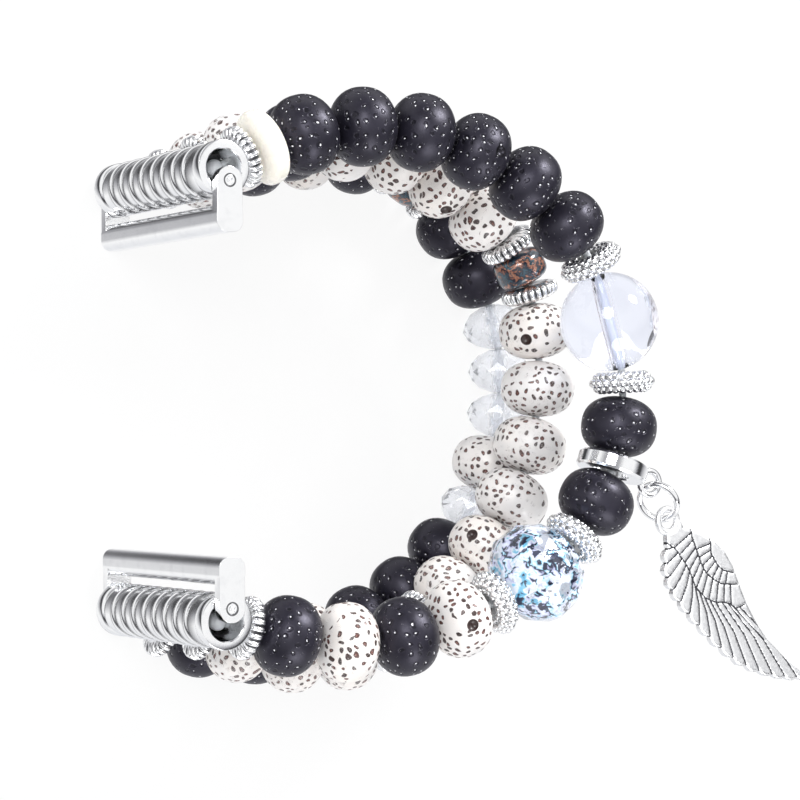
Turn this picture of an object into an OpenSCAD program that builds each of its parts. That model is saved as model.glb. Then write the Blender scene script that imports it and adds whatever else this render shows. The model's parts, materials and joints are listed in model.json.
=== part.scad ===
// Three-strand beaded watch band: dyed and natural seed beads, glass and silver spacers on
// elastic cords between two silver watch adapters, with a wing charm on the front strand.
// X runs from the watch into the loop, Y along the watch from adapter to adapter, Z across
// the wrist. The origin is the middle of the seat that the watch case fills.

/* [Watch adapters] */
// Distance from the middle of the watch seat to each sleeve's axis
sleeve_y = 24.85; // [22:0.05:30]
// Outside diameter of a sleeve over its ribs
sleeve_d = 6.3; // [5.8:0.1:7]
// Bore of a sleeve, in which the pin and the knots lie
sleeve_bore = 4.3; // [4.1:0.1:4.6]
// Length of a sleeve
sleeve_len = 27.3; // [25:0.1:32]
// Ribs round a sleeve
rib_count = 10; // [6:1:12]
// Height of a rib over the groove beside it
rib_rise = 0.45; // [0.2:0.05:0.6]
// Diameter of the pin that holds a sleeve
pin_d = 1.3; // [1:0.1:1.5]
// Running gap between the pin and the sleeve wall that it pulls on
pin_play = 0.03; // [0.01:0.01:0.1]
// Distance from the pin to the middle of the slot insert
insert_drop = 4.1; // [3.9:0.1:5]
// Width of the slot insert, across the case's thickness
insert_w = 3.2; // [2.8:0.1:3.6]
// Height of the slot insert
insert_h = 3.1; // [2.6:0.1:3.4]
// Corner radius of the slot insert
insert_r = 1.2; // [0.8:0.1:1.3]
// Width of an ear
ear_w = 3.1; // [2.6:0.1:3.2]
// Thickness of an ear
ear_t = 1.2; // [0.8:0.1:1.5]
// Gap between a sleeve's end and the ear beside it
ear_gap = 0.15; // [0.1:0.05:0.3]

/* [Beads] */
// Diameter of a seed bead
seed_d = 9.2; // [8.6:0.1:9.2]
// Length of a black seed bead
black_len = 7.35; // [7:0.05:7.4]
// Length of a white seed bead
white_len = 6.95; // [6.6:0.05:7]
// Width of the moon-shaped dimple on a seed bead
moon_d = 1.5; // [1:0.1:2]
// Bore through every bead
bead_bore = 1.5; // [1.3:0.1:1.8]
// Diameter of the plain cream disc
disc_d = 8.8; // [8:0.1:9]
// Thickness of the plain cream disc
disc_len = 3; // [2.4:0.1:3.2]
// Diameter of a granulated spacer
grain_spacer_d = 8; // [7:0.1:8.4]
// Thickness of a granulated spacer
grain_spacer_len = 3; // [2.6:0.1:3.2]
// Grains round each row of a granulated spacer
grain_count = 14; // [10:1:16]
// Diameter of a pleated spacer
pleat_d = 7.2; // [6.4:0.1:7.6]
// Thickness of a pleated spacer
pleat_len = 2.2; // [1.8:0.1:2.4]
// Pleats round a pleated spacer
pleat_count = 16; // [10:1:20]
// Diameter of the clear crystal ball
ball_d = 12; // [11:0.1:12]
// Diameter of the blue faceted glass bead
blue_d = 12; // [11:0.1:12]
// Length of the blue faceted glass bead
blue_len = 10; // [9:0.1:10.5]
// Diameter of a dark glass drum bead
drum_d = 6.5; // [5.5:0.1:7]
// Length of a dark glass drum bead
drum_len = 3.9; // [3.4:0.1:4]
// Diameter of a clear faceted crystal
crystal_d = 8; // [7:0.1:8.4]
// Length of a clear faceted crystal
crystal_len = 5.5; // [5:0.1:5.7]

/* [Cords] */
// Diameter of the elastic cords
cord_d = 0.9; // [0.6:0.05:1]
// Flat sides round each cord
cord_sides = 12; // [8:2:16]
// Diameter of the knots inside the sleeves
knot_d = 2.1; // [1.8:0.1:2.2]
// Hole through a sleeve's wall for a cord
cord_hole = 1.5; // [1.2:0.1:1.7]
// How far in from the sleeves' front ends the front strand starts
front_inset = 4.05; // [3.65:0.05:4.25]
// How far the front strand bows outward at the far side of the loop
front_bow = 3; // [2.7:0.1:3.2]
// How far in from the sleeves' back ends the back strand starts
back_inset = 3.75; // [3.45:0.05:3.95]
// How far the back strand bows outward at the far side of the loop
back_bow = 0.5; // [0.3:0.1:0.8]

/* [Charm] */
// Outside diameter of the bail ring round the front strand
bail_d = 8.7; // [8:0.1:9]
// Width of the bail ring along the strand
bail_len = 1.9; // [1.6:0.1:2]
// Hole of the bail ring
bail_hole = 4.6; // [4:0.1:5]
// Outside diameter of the bail's eyelet
eyelet_d = 3.7; // [3.5:0.1:4]
// Hole of the eyelet
eyelet_hole = 2.1; // [2:0.1:2.3]
// Outside diameter of the jump ring
jump_d = 5.6; // [5:0.1:6]
// Wire of the jump ring
jump_wire = 0.8; // [0.6:0.05:0.9]
// Tilt of the jump ring from the plane of the charm
jump_tilt = 62; // [60:1:75]
// Direction in which the jump ring hangs from the eyelet
jump_dir = -60; // [-70:1:-50]
// Outside diameter of the charm's eye
wing_eye_d = 3.7; // [3.4:0.1:4]
// Hole of the charm's eye
wing_hole = 2; // [1.9:0.1:2.2]
// How far the jump ring's wire hangs past the middle of each hole
hang_slack = 0.3; // [0.2:0.05:0.35]
// Thickness of the charm
wing_t = 1.1; // [0.9:0.1:1.3]
// Length of the wing from the middle of its eye to the tip
wing_len = 29.5; // [27:0.5:30.5]
// Depth of the dips between the wing's feather tips
scallop = 0.45; // [0.2:0.05:0.6]
// Direction in which the wing points from its eye
wing_dir = -43.5; // [-55:0.5:-35]

/* [Hidden] */
$fn = 48;
SILVER = "#c9ccd2";
BLACK = "#25242e";
WHITE = "#e9e4dc";
sleeve_r = sleeve_d / 2;
front_z = sleeve_len / 2 - front_inset;
back_z = back_inset - sleeve_len / 2;
pin_r = pin_d / 2;
pin_off = sleeve_bore / 2 - pin_r - pin_play;
pin_y = sleeve_y - pin_off;
insert_y = pin_y - insert_drop;
ear_in = sleeve_len / 2 + ear_gap;
ear_out = ear_in + ear_t;

// Routes of the cords, seen along Z, from the upper sleeve to the lower one
front_route = [[0, sleeve_y], [12.5, 30], [24.3, 31.1], [33.1, 29.3], [42.5, 24.6], [50.9, 15.3],
    [54.8, 1], [51.4, -12.2], [41.1, -21.9], [25.2, -27.7], [16.8, -28], [11.2, -27.5],
    [0, -sleeve_y]];
middle_route = [[0, sleeve_y], [8, 28.3], [18.2, 30.6], [30.9, 29.3], [42.4, 23.3], [48.9, 15.7],
    [51.2, 5.9], [49.7, -6.5], [43.4, -18], [33.5, -26.6], [23.6, -30.3], [10.9, -29.3],
    [0, -sleeve_y]];
back_route = [[0, sleeve_y], [9.7, 27.6], [20, 30.1], [32.5, 30.3], [42.6, 25.2], [50, 14.2],
    [52.4, 2.2], [49.8, -10], [42.3, -20.5], [30.7, -27.8], [17.5, -30.1], [6.1, -27.9],
    [0, -sleeve_y]];

// Beads on each cord, from the upper sleeve to the lower one
front_beads = ["pleat", "disc", "black", "black", "black", "black", "black", "black", "grain", "ball",
    "grain", "black", "bail", "black", "grain", "blue", "grain", "white", "black", "white", "black", "pleat"];
middle_beads = ["pleat", "white", "black", "white", "white", "white", "white", "pleat", "drum", "pleat",
    "white", "white", "white", "white", "white", "white", "pleat", "drum", "pleat", "white", "white",
    "white", "pleat"];
back_beads = ["pleat", "white", "black", "white", "black", "pleat", "drum", "pleat", "black", "black",
    "crystal", "crystal", "crystal", "white", "crystal", "black", "black", "black", "white", "black",
    "black", "pleat"];

// A strand is its bead list, its cord samples and the running length at each sample
front = strand(front_beads, front_route, front_z, front_bow);
middle = strand(middle_beads, middle_route, 0, 0);
back = strand(back_beads, back_route, back_z, -back_bow);

// Length that each kind of bead takes on its cord
function bead_len(kind) =
    kind == "black" ? black_len :
    kind == "white" ? white_len :
    kind == "disc" ? disc_len :
    kind == "grain" ? grain_spacer_len :
    kind == "ball" ? ball_d - 0.3 :
    kind == "blue" ? blue_len :
    kind == "bail" ? bail_len :
    kind == "drum" ? drum_len :
    kind == "crystal" ? crystal_len : pleat_len;

function total(v, n, i = 0) = i >= n ? 0 : v[i] + total(v, n, i + 1);
function running(p) = [for (i = 0, s = 0; i < len(p); s = i + 1 < len(p) ? s + norm(p[i + 1] - p[i]) : s,
    i = i + 1) s];

// Smooth curve through the route points: four neighbours set each stretch
function smooth(a, b, c, d, t) = 0.5 * (2 * b + (c - a) * t + (2 * a - 5 * b + 4 * c - d) * t * t
    + (3 * b - a - 3 * c + d) * t * t * t);
function bend(route, z, bow) =
    let (n = len(route), steps = 10,
        p = concat([2 * route[0] - route[1]], route, [2 * route[n - 1] - route[n - 2]]),
        flat = concat([for (i = [0 : n - 2], k = [0 : steps - 1])
            smooth(p[i], p[i + 1], p[i + 2], p[i + 3], k / steps)], [route[n - 1]]))
    [for (i = [0 : len(flat) - 1]) [flat[i][0], flat[i][1], z + bow * sin(180 * i / (len(flat) - 1))]];
function strand(beads, route, z, bow) =
    let (p = bend(route, z, bow)) [beads, p, running(p)];

// Place on a strand's cord at a distance from the upper sleeve's axis
function at(st, s) =
    let (i = max(0, min(len(st[2]) - 2, len([for (v = st[2]) if (v < s) v]) - 1)),
        t = (s - st[2][i]) / (st[2][i + 1] - st[2][i]))
    st[1][i] + t * (st[1][i + 1] - st[1][i]);
function cord_length(st) = st[2][len(st[2]) - 1];
function lengths(st) = [for (kind = st[0]) bead_len(kind)];

// The stretched cord spreads its spare length evenly between the beads
function spare(st) = (cord_length(st) - sleeve_d - total(lengths(st), len(st[0]))) / (len(st[0]) + 1);
function start_of(st, i) = sleeve_r + spare(st) * (i + 1) + total(lengths(st), i);
function bead_ends(st, i) = [at(st, start_of(st, i)), at(st, start_of(st, i) + bead_len(st[0][i]))];
function middle_of(e) = (e[0] + e[1]) / 2;
function unit(v) = v / norm(v);

// Lays what stands on Z along the line from one point to another
module along(a, b) {
    d = b - a;
    translate(a) rotate([0, acos(d[2] / norm(d)), atan2(d[1], d[0])]) children();
}

// Profile of a turned bead: half a rounded oblong beside the bore
function barrel(r, half, power, n = 12) = concat(
    [for (i = [-n : n]) let (a = 90 * i / n)
        [r * pow(cos(a), 2 / power), half * sign(a) * pow(abs(sin(a)), 2 / power)]]);

module turned(r, length, power, n = 12) {
    difference() {
        rotate_extrude() polygon(barrel(r, length / 2, power, n));
        cylinder(d = bead_bore, h = length + 1, center = true);
    }
}

module seed(length, turn) {
    difference() {
        turned(seed_d / 2, length, 2.2);
        rotate([0, 0, turn]) translate([seed_d / 2 + moon_d * 0.3, 0, length * 0.12]) sphere(d = moon_d);
    }
}

module pleated_spacer() {
    groove = pleat_d * 0.44;
    difference() {
        intersection() {
            linear_extrude(pleat_len, center = true) polygon([for (i = [0 : pleat_count - 1], k = [0 : 3])
                let (a = 360 * (i + [0, 0.3, 0.5, 0.8][k]) / pleat_count, r = k < 2 ? pleat_d / 2 : groove)
                [r * cos(a), r * sin(a)]]);
            rotate_extrude() polygon(barrel(pleat_d / 2, pleat_len / 2, 3.2, 6));
        }
        cylinder(d = bead_bore, h = pleat_len + 1, center = true);
    }
}

module grain_row(r, z, grain) {
    for (i = [0 : grain_count - 1]) rotate([0, 0, 360 * i / grain_count]) translate([r, 0, z]) sphere(d = grain);
}

// Flat-sided core with one row of grains round its rim and a smaller row on each face
module grain_spacer() {
    grain = grain_spacer_len * 0.46;
    small = grain_spacer_len * 0.36;
    flat = grain_spacer_d / 2 - grain / 2 - 0.1;
    half = grain_spacer_len * 0.3;
    difference() {
        union() {
            rotate([0, 0, 180 / grain_count]) linear_extrude(2 * half, center = true)
                polygon([for (i = [0 : grain_count - 1]) let (a = 360 * i / grain_count)
                    [cos(a), sin(a)] * flat / cos(180 / grain_count)]);
            grain_row(flat + 0.1, 0, grain);
            for (side = [-1, 1]) rotate([0, 0, 180 / grain_count])
                grain_row(flat - small / 2 - 0.1, side * (half - 0.06), small);
        }
        cylinder(d = bead_bore, h = grain_spacer_len + 1, center = true);
    }
}

module faceted(d, length, sides, band, tip) {
    difference() {
        rotate_extrude($fn = sides) polygon([[0, -length / 2], [tip / 2, -length / 2],
            [d / 2, -band / 2], [d / 2, band / 2], [tip / 2, length / 2], [0, length / 2]]);
        cylinder(d = bead_bore, h = length + 1, center = true);
    }
}

// One bead in its own place, by its kind
module bead(kind, turn) {
    if (kind == "black") color(BLACK) seed(black_len, turn);
    if (kind == "white") color(WHITE) seed(white_len, turn);
    if (kind == "disc") color("#efe6d2") turned(disc_d / 2, disc_len, 3.5);
    if (kind == "pleat") color(SILVER) pleated_spacer();
    if (kind == "grain") color(SILVER) grain_spacer();
    if (kind == "ball") color("#dbe6f2") turned(ball_d / 2, ball_d, 2, 16);
    if (kind == "blue") color("#8fb6dd") faceted(blue_d, blue_len, 12, blue_len * 0.3, blue_d * 0.36);
    if (kind == "drum") color("#2f5560") turned(drum_d / 2, drum_len, 4, 8);
    if (kind == "crystal") color("#cfdbe6") faceted(crystal_d, crystal_len, 10, crystal_len * 0.12,
        crystal_d * 0.28);
}

// Beads of a strand, each lying along its own stretch of cord
module beads(st, items) {
    for (i = items) {
        e = bead_ends(st, i);
        along(middle_of(e), e[1]) bead(st[0][i], 360 * sin(40 * i + st[1][0][2]));
    }
}

// Cord through every bead, with flat sides and a bend in each gap, and a knot inside each sleeve
module cord(st) {
    n = len(st[0]);
    knot_r = knot_d / 2;
    knot_at = sleeve_bore / 2 - knot_r - 0.2;
    gaps = [for (i = [0 : n]) at(st, start_of(st, i) - spare(st) / 2)];
    // Each station is a point, a way and a radius
    head = at(st, knot_at);
    tail = at(st, cord_length(st) - knot_at);
    head_way = unit(gaps[0] - head);
    tail_way = unit(tail - gaps[n]);
    stations = concat(
        [for (k = [0 : 5]) let (x = -0.96 + 0.37 * k)
            [head + knot_r * x * head_way, head_way, knot_r * sqrt(1 - x * x)]],
        [[head + knot_r * head_way, head_way, cord_d / 2]],
        [for (i = [0 : n]) [gaps[i], unit(unit((i < n ? gaps[i + 1] : tail) - gaps[i])
            + unit(gaps[i] - (i > 0 ? gaps[i - 1] : head))), cord_d / 2]],
        [[tail - knot_r * tail_way, tail_way, cord_d / 2]],
        [for (k = [0 : 5]) let (x = -0.89 + 0.37 * k)
            [tail + knot_r * x * tail_way, tail_way, knot_r * sqrt(1 - x * x)]]);
    count = len(stations);
    points = [for (q = stations) let (u = unit(cross([0, 0, 1], q[1])), v = cross(q[1], u))
        for (k = [0 : cord_sides - 1]) let (a = 360 * k / cord_sides)
            q[0] + q[2] * (cos(a) * u + sin(a) * v)];
    sides = [for (i = [0 : count - 2], k = [0 : cord_sides - 1])
        let (a = i * cord_sides + k, b = i * cord_sides + (k + 1) % cord_sides)
        each [[a, a + cord_sides, b], [b, a + cord_sides, b + cord_sides]]];
    caps = [[for (k = [0 : cord_sides - 1]) k],
        [for (k = [cord_sides - 1 : -1 : 0]) (count - 1) * cord_sides + k]];
    color("#e8edf2") polyhedron(points, concat(sides, caps));
}

// Ribbed sleeve, round its own axis: side is 1 for the upper and -1 for the lower one
module sleeve(side) {
    pitch = sleeve_len / rib_count;
    rib = [for (i = [0 : rib_count - 1], k = [0 : 6]) let (a = 180 * k / 6)
        [sleeve_r - rib_rise * (1 - sin(a)), -sleeve_len / 2 + pitch * (i + 0.04 + 0.92 * k / 6)]];
    color(SILVER) difference() {
        translate([0, side * sleeve_y, 0]) rotate_extrude() polygon(concat(
            [[sleeve_bore / 2, sleeve_len / 2], [sleeve_bore / 2, -sleeve_len / 2],
            [sleeve_r - rib_rise, -sleeve_len / 2]], rib, [[sleeve_r - rib_rise, sleeve_len / 2]]));
        for (st = [front, middle, back]) {
            s = side > 0 ? [at(st, 0), at(st, sleeve_r)]
                : [at(st, cord_length(st)), at(st, cord_length(st) - sleeve_r)];
            along(s[0], s[1]) cylinder(d = cord_hole, h = sleeve_d);
        }
    }
}

module rounded(w, h, r) {
    square([w - 2 * r, h], center = true);
    square([w, h - 2 * r], center = true);
    for (x = [-1, 1], y = [-1, 1]) translate([x * (w / 2 - r), y * (h / 2 - r)]) circle(r);
}

// Mirrors the lower adapter's pieces from the upper one's
module for_side(side) {
    if (side > 0) children();
    else mirror([0, 1, 0]) children();
}

// Slot insert with its two ears
module lug(side) {
    color(SILVER) for_side(side) {
        translate([0, insert_y, -ear_out]) linear_extrude(2 * ear_out) rounded(insert_w, insert_h, insert_r);
        for (z = [-ear_out, ear_in]) translate([0, 0, z]) linear_extrude(ear_t) difference() {
            union() {
                translate([-ear_w / 2, insert_y]) square([ear_w, insert_drop]);
                translate([0, pin_y]) circle(d = ear_w);
            }
            translate([0, pin_y]) circle(d = pin_d);
        }
    }
}

// Pin through both ears, with a dimple in each end
module pin(side) {
    color(SILVER) translate([0, side * pin_y, 0]) difference() {
        cylinder(d = pin_d, h = 2 * ear_out, center = true);
        for (z = [-1, 1]) translate([0, 0, z * ear_out]) cylinder(d = pin_d * 0.5, h = 1, center = true);
    }
}

// Charm chain: bail ring with its eyelet, jump ring and wing
bail_item = 12;
bail_ends = bead_ends(front, bail_item);
bail_mid = middle_of(bail_ends);
bail_way = bail_ends[1] - bail_ends[0];
bail_out = [-bail_way[1], bail_way[0], 0] / norm([bail_way[0], bail_way[1]]);
eyelet_mid = bail_mid + bail_out * (bail_d / 2 + eyelet_d / 2 - 0.25);
hang = [cos(jump_dir), sin(jump_dir), 0];
jump_r = (jump_d - jump_wire) / 2;
wing_mid = eyelet_mid + hang * 2 * (jump_r + hang_slack);

module bail() {
    color(SILVER) {
        along(bail_mid, bail_ends[1]) difference() {
            rotate_extrude() polygon(barrel(bail_d / 2, bail_len / 2, 5, 8));
            cylinder(d = bail_hole, h = bail_len + 1, center = true);
        }
        translate(eyelet_mid) rotate_extrude()
            translate([(eyelet_d + eyelet_hole) / 4, 0]) circle(d = (eyelet_d - eyelet_hole) / 2);
    }
}

module jump_ring() {
    color(SILVER) translate((eyelet_mid + wing_mid) / 2) rotate([0, 0, jump_dir]) rotate([jump_tilt, 0, 0])
        rotate_extrude() translate([jump_r, 0]) circle(d = jump_wire);
}

// Leading edge of the wing from its eye to the tip, then the tips of its feathers back to the eye
wing_leading = [[0.4, 1.2], [2.1, 0.9], [3.4, 1.6], [4.6, 2.2], [6.7, 2.8], [9, 3], [11, 2.6], [13.9, 1.4],
    [16, 0.6], [18.3, 0], [21.4, -0.5], [25.3, -0.3], [29.2, 0.2]];
feather_tips = [[29.5, -0.5], [28, -1.8], [26.3, -3], [24.4, -4.1], [22.4, -5.1], [20.2, -5.9], [17.9, -6.35],
    [15.6, -6.6], [13.3, -6.7], [11.1, -6.7], [9, -6.65], [7, -6.45], [5.2, -6], [3.6, -5.1], [2.3, -3.7],
    [1.4, -2]];
// The trailing edge dips by the scallop between two feather tips, with a shoulder on each side of a tip
function inward(a, b) = unit([b[1] - a[1], a[0] - b[0]]);
trailing = [for (i = [0:len(feather_tips) - 2]) let (a = feather_tips[i], b = feather_tips[i + 1],
    s = scallop * inward(a, b)) each [a + (b - a) * 0.28 + s * 0.25, (a + b) / 2 + s,
    a + (b - a) * 0.72 + s * 0.25, b]];
wing_outline = [for (q = concat(wing_leading, [feather_tips[0]], trailing, [[0.4, -1.2]]))
    q * wing_len / norm(feather_tips[0])];

module wing_charm() {
    color(SILVER) translate(wing_mid) rotate([0, 0, wing_dir]) difference() {
        translate([0, 0, -wing_t / 2]) {
            linear_extrude(wing_t) polygon(wing_outline);
            cylinder(d = wing_eye_d, h = wing_t);
        }
        cylinder(d = wing_hole, h = wing_t + 1, center = true);
    }
}

sleeve(1);  // upper_sleeve
lug(1);  // upper_lug
pin(1);  // upper_pin
sleeve(-1);  // lower_sleeve
lug(-1);  // lower_lug
pin(-1);  // lower_pin
cord(front);  // front_cord
cord(middle);  // middle_cord
cord(back);  // back_cord
beads(front, [0]);  // front_top_spacer
beads(front, [1]);  // cream_disc
beads(front, [2]);  // front_black_1
beads(front, [3]);  // front_black_2
beads(front, [4]);  // front_black_3
beads(front, [5]);  // front_black_4
beads(front, [6]);  // front_black_5
beads(front, [7]);  // front_black_6
beads(front, [8]);  // grain_spacer_1
beads(front, [9]);  // crystal_ball
beads(front, [10]);  // grain_spacer_2
beads(front, [11]);  // front_black_7
bail();
beads(front, [13]);  // front_black_8
beads(front, [14]);  // grain_spacer_3
beads(front, [15]);  // blue_glass
beads(front, [16]);  // grain_spacer_4
beads(front, [17]);  // front_white_1
beads(front, [18]);  // front_black_9
beads(front, [19]);  // front_white_2
beads(front, [20]);  // front_black_10
beads(front, [21]);  // front_bottom_spacer
beads(middle, [0]);  // middle_upper_spacer
beads(middle, [1, 3, 4, 5, 6]);  // middle_upper_whites
beads(middle, [2]);  // middle_upper_black
beads(middle, [7, 9]);  // middle_far_spacers
beads(middle, [8]);  // middle_far_drum
beads(middle, [10 : 13]);  // middle_far_whites
beads(middle, [14, 15, 19, 20, 21]);  // middle_lower_whites
beads(middle, [16, 18, 22]);  // middle_lower_spacers
beads(middle, [17]);  // middle_lower_drum
beads(back, [0, 5, 7]);  // back_upper_spacers
beads(back, [1, 3]);  // back_upper_whites
beads(back, [2, 4, 8]);  // back_upper_blacks
beads(back, [6]);  // back_upper_drum
beads(back, [9]);  // back_far_black
beads(back, [10, 11, 12, 14]);  // back_far_crystals
beads(back, [13]);  // back_far_white
beads(back, [15, 16, 17, 19, 20]);  // back_lower_blacks
beads(back, [18]);  // back_lower_white
beads(back, [21]);  // back_lower_spacer
jump_ring();
wing_charm();
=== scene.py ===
"""Three-strand seed bead wrist band with slot adapters and a wing charm, dressed for rendering."""

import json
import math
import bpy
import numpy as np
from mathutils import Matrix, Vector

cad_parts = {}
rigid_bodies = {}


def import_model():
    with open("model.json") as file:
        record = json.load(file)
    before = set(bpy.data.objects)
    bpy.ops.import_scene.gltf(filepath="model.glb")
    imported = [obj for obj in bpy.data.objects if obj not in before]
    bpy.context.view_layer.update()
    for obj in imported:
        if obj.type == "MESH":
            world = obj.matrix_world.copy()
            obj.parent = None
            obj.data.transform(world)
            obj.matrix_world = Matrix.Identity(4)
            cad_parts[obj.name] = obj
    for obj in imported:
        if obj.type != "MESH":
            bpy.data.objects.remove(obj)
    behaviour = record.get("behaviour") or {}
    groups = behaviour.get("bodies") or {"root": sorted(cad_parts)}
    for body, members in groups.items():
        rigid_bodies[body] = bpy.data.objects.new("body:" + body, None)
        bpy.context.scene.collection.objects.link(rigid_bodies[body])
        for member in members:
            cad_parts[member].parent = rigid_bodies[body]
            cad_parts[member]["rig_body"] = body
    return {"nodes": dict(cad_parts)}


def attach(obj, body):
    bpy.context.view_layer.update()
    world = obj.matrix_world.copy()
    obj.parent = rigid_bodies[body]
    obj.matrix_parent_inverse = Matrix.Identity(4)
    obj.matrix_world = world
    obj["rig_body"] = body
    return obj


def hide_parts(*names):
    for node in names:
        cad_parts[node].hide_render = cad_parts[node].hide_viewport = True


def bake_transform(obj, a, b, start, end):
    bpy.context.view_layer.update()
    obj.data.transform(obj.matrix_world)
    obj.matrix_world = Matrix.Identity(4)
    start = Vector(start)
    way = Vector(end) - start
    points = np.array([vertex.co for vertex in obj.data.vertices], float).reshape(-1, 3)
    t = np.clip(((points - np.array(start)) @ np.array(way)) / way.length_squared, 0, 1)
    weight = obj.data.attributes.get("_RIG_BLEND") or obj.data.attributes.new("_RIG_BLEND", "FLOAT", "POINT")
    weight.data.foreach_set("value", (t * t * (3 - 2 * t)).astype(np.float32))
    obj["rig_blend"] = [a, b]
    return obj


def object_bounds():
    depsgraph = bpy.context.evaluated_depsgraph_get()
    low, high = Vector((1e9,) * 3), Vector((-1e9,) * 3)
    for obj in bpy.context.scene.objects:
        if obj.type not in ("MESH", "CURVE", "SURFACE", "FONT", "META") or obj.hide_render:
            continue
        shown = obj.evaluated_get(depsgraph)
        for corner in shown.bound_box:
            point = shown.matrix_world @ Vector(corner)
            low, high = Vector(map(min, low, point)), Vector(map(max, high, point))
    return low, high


bl_info = {
    "name": "Seed Bead Wrist Band",
    "version": (1, 0, 0),
    "blender": (4, 5, 0),
    "location": "View3D > Sidebar > Bead Band",
    "description": "Builds the beads, spacers, adapters, cords and charm of a wrist band",
    "category": "Object",
}

import bmesh
import bpy
from bpy.props import FloatProperty, FloatVectorProperty, IntProperty, PointerProperty
from mathutils import Matrix, Vector

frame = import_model()
cad_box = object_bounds()

MM = 0.001

# The next sizes are in millimetres and degrees. They follow the joints of the part's source.
SLEEVE_Y = 24.85  # from the middle of the band to the axis of a sleeve
PIN_Y = 23.38  # and to the axis of its pin
PIN_SEAM = 0.68  # radius of the seam round a pin's end, painted as a dark ring of shade
DRILL_D = 1.5  # hole by which a cord enters a sleeve
KNOT_GAP = 0.2  # between a knot and the wall of its sleeve
BALL_FLATS = 0.3  # what the flats at its bore take off the clear ball's length
BAIL_D, BAIL_HOLE, BAIL_LENGTH = 8.7, 4.6, 1.9
EYELET_D, EYELET_SUNK = 3.7, 0.25
RING_WIRE = 0.8
JUMP_RADIUS = 2.4  # to the middle of the jump ring's wire
JUMP_DIRECTION, JUMP_TILT, JUMP_OPENING, JUMP_SEAM = -60, 62, 70, 4
HANG_SLACK = 0.3
WING_EYE_RADIUS, WING_EYE_WIRE = 1.425, 0.85
WING_THICKNESS = 1.1
WING_DIRECTION = -43.5

# Routes of the cords in millimetres, seen along Z, as in the part's source
FRONT_ROUTE = (
    (0, SLEEVE_Y), (12.5, 30), (24.3, 31.1), (33.1, 29.3), (42.5, 24.6), (50.9, 15.3), (54.8, 1),
    (51.4, -12.2), (41.1, -21.9), (25.2, -27.7), (16.8, -28), (11.2, -27.5), (0, -SLEEVE_Y),
)
MIDDLE_ROUTE = (
    (0, SLEEVE_Y), (8, 28.3), (18.2, 30.6), (30.9, 29.3), (42.4, 23.3), (48.9, 15.7), (51.2, 5.9),
    (49.7, -6.5), (43.4, -18), (33.5, -26.6), (23.6, -30.3), (10.9, -29.3), (0, -SLEEVE_Y),
)
BACK_ROUTE = (
    (0, SLEEVE_Y), (9.7, 27.6), (20, 30.1), (32.5, 30.3), (42.6, 25.2), (50, 14.2), (52.4, 2.2),
    (49.8, -10), (42.3, -20.5), (30.7, -27.8), (17.5, -30.1), (6.1, -27.9), (0, -SLEEVE_Y),
)

# Beads on each cord, from the upper sleeve to the lower one
FRONT_BEADS = (
    "pleat disc black black black black black black grain ball grain black bail black grain blue "
    "grain white black white black pleat"
).split()
MIDDLE_BEADS = (
    "pleat white black white white white white pleat drum pleat white white white white white white "
    "pleat drum pleat white white white pleat"
).split()
BACK_BEADS = (
    "pleat white black white black pleat drum pleat black black crystal crystal crystal white "
    "crystal black black black white black black pleat"
).split()


def size(name, description, millimetres):
    """A length that a user may change."""
    return FloatProperty(name=name, description=description, default=millimetres * MM, unit="LENGTH")


def colour(name, description, value):
    """A colour that a user may change."""
    return FloatVectorProperty(name=name, description=description, default=value, subtype="COLOR")


class BandSizes(bpy.types.PropertyGroup):
    """
    Sizes of the band's pieces. They start at the sizes of the part's source, apart from the ribs, grains and
    pleats, which are finer here.
    """

    seed: size("Seed bead", "Diameter of a seed bead", 9.2)
    black: size("Black seed", "Length that a black seed takes on its cord", 7.35)
    white: size("White seed", "Length that a white seed takes on its cord", 6.95)
    moon: size("Moon", "Diameter of the round hollow in a seed", 1.5)
    bore: size("Bead bore", "Diameter of the hole in a bead", 1.5)
    disc: size("Disc", "Diameter of the cream disc", 8.8)
    disc_length: size("Disc length", "Length of the cream disc", 3.0)
    ball: size("Ball", "Diameter of the clear ball", 12.0)
    blue: size("Blue bead", "Diameter of the blue bead", 12.0)
    blue_length: size("Blue bead length", "Length of the blue bead", 10.0)
    drum: size("Drum", "Diameter of a dark drum bead", 6.5)
    drum_length: size("Drum length", "Length of a dark drum bead", 3.9)
    crystal: size("Rondelle", "Diameter of a clear rondelle", 8.0)
    crystal_length: size("Rondelle length", "Length of a clear rondelle", 5.5)
    grain: size("Grain spacer", "Diameter of a grained spacer", 8.0)
    grain_length: size("Grain spacer length", "Length of a grained spacer", 3.0)
    grains: IntProperty(name="Grains", description="Grains in one row of a spacer", default=20, min=6, max=24)
    pleat: size("Pleated spacer", "Diameter of a pleated spacer", 7.2)
    pleat_length: size("Pleated spacer length", "Length of a pleated spacer", 2.2)
    pleats: IntProperty(name="Pleats", description="Pleats round a spacer", default=24, min=8, max=30)
    sleeve: size("Sleeve", "Diameter over a sleeve's ribs", 6.3)
    sleeve_bore: size("Sleeve bore", "Inside diameter of a sleeve", 4.3)
    sleeve_length: size("Sleeve length", "Length of a sleeve", 27.3)
    sleeve_ring: size("Sleeve ring", "Length of the plain ring at each end of a sleeve", 1.6)
    ribs: IntProperty(name="Ribs", description="Ribs along a sleeve", default=8, min=6, max=14)
    rib_width: size("Rib width", "Width of a rib", 0.8)
    rib_rise: size("Rib rise", "How far a rib stands proud", 0.25)
    cord: size("Cord", "Diameter of the elastic cord", 0.9)
    knot: size("Knot", "Diameter of a knot in a sleeve", 2.1)


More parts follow.
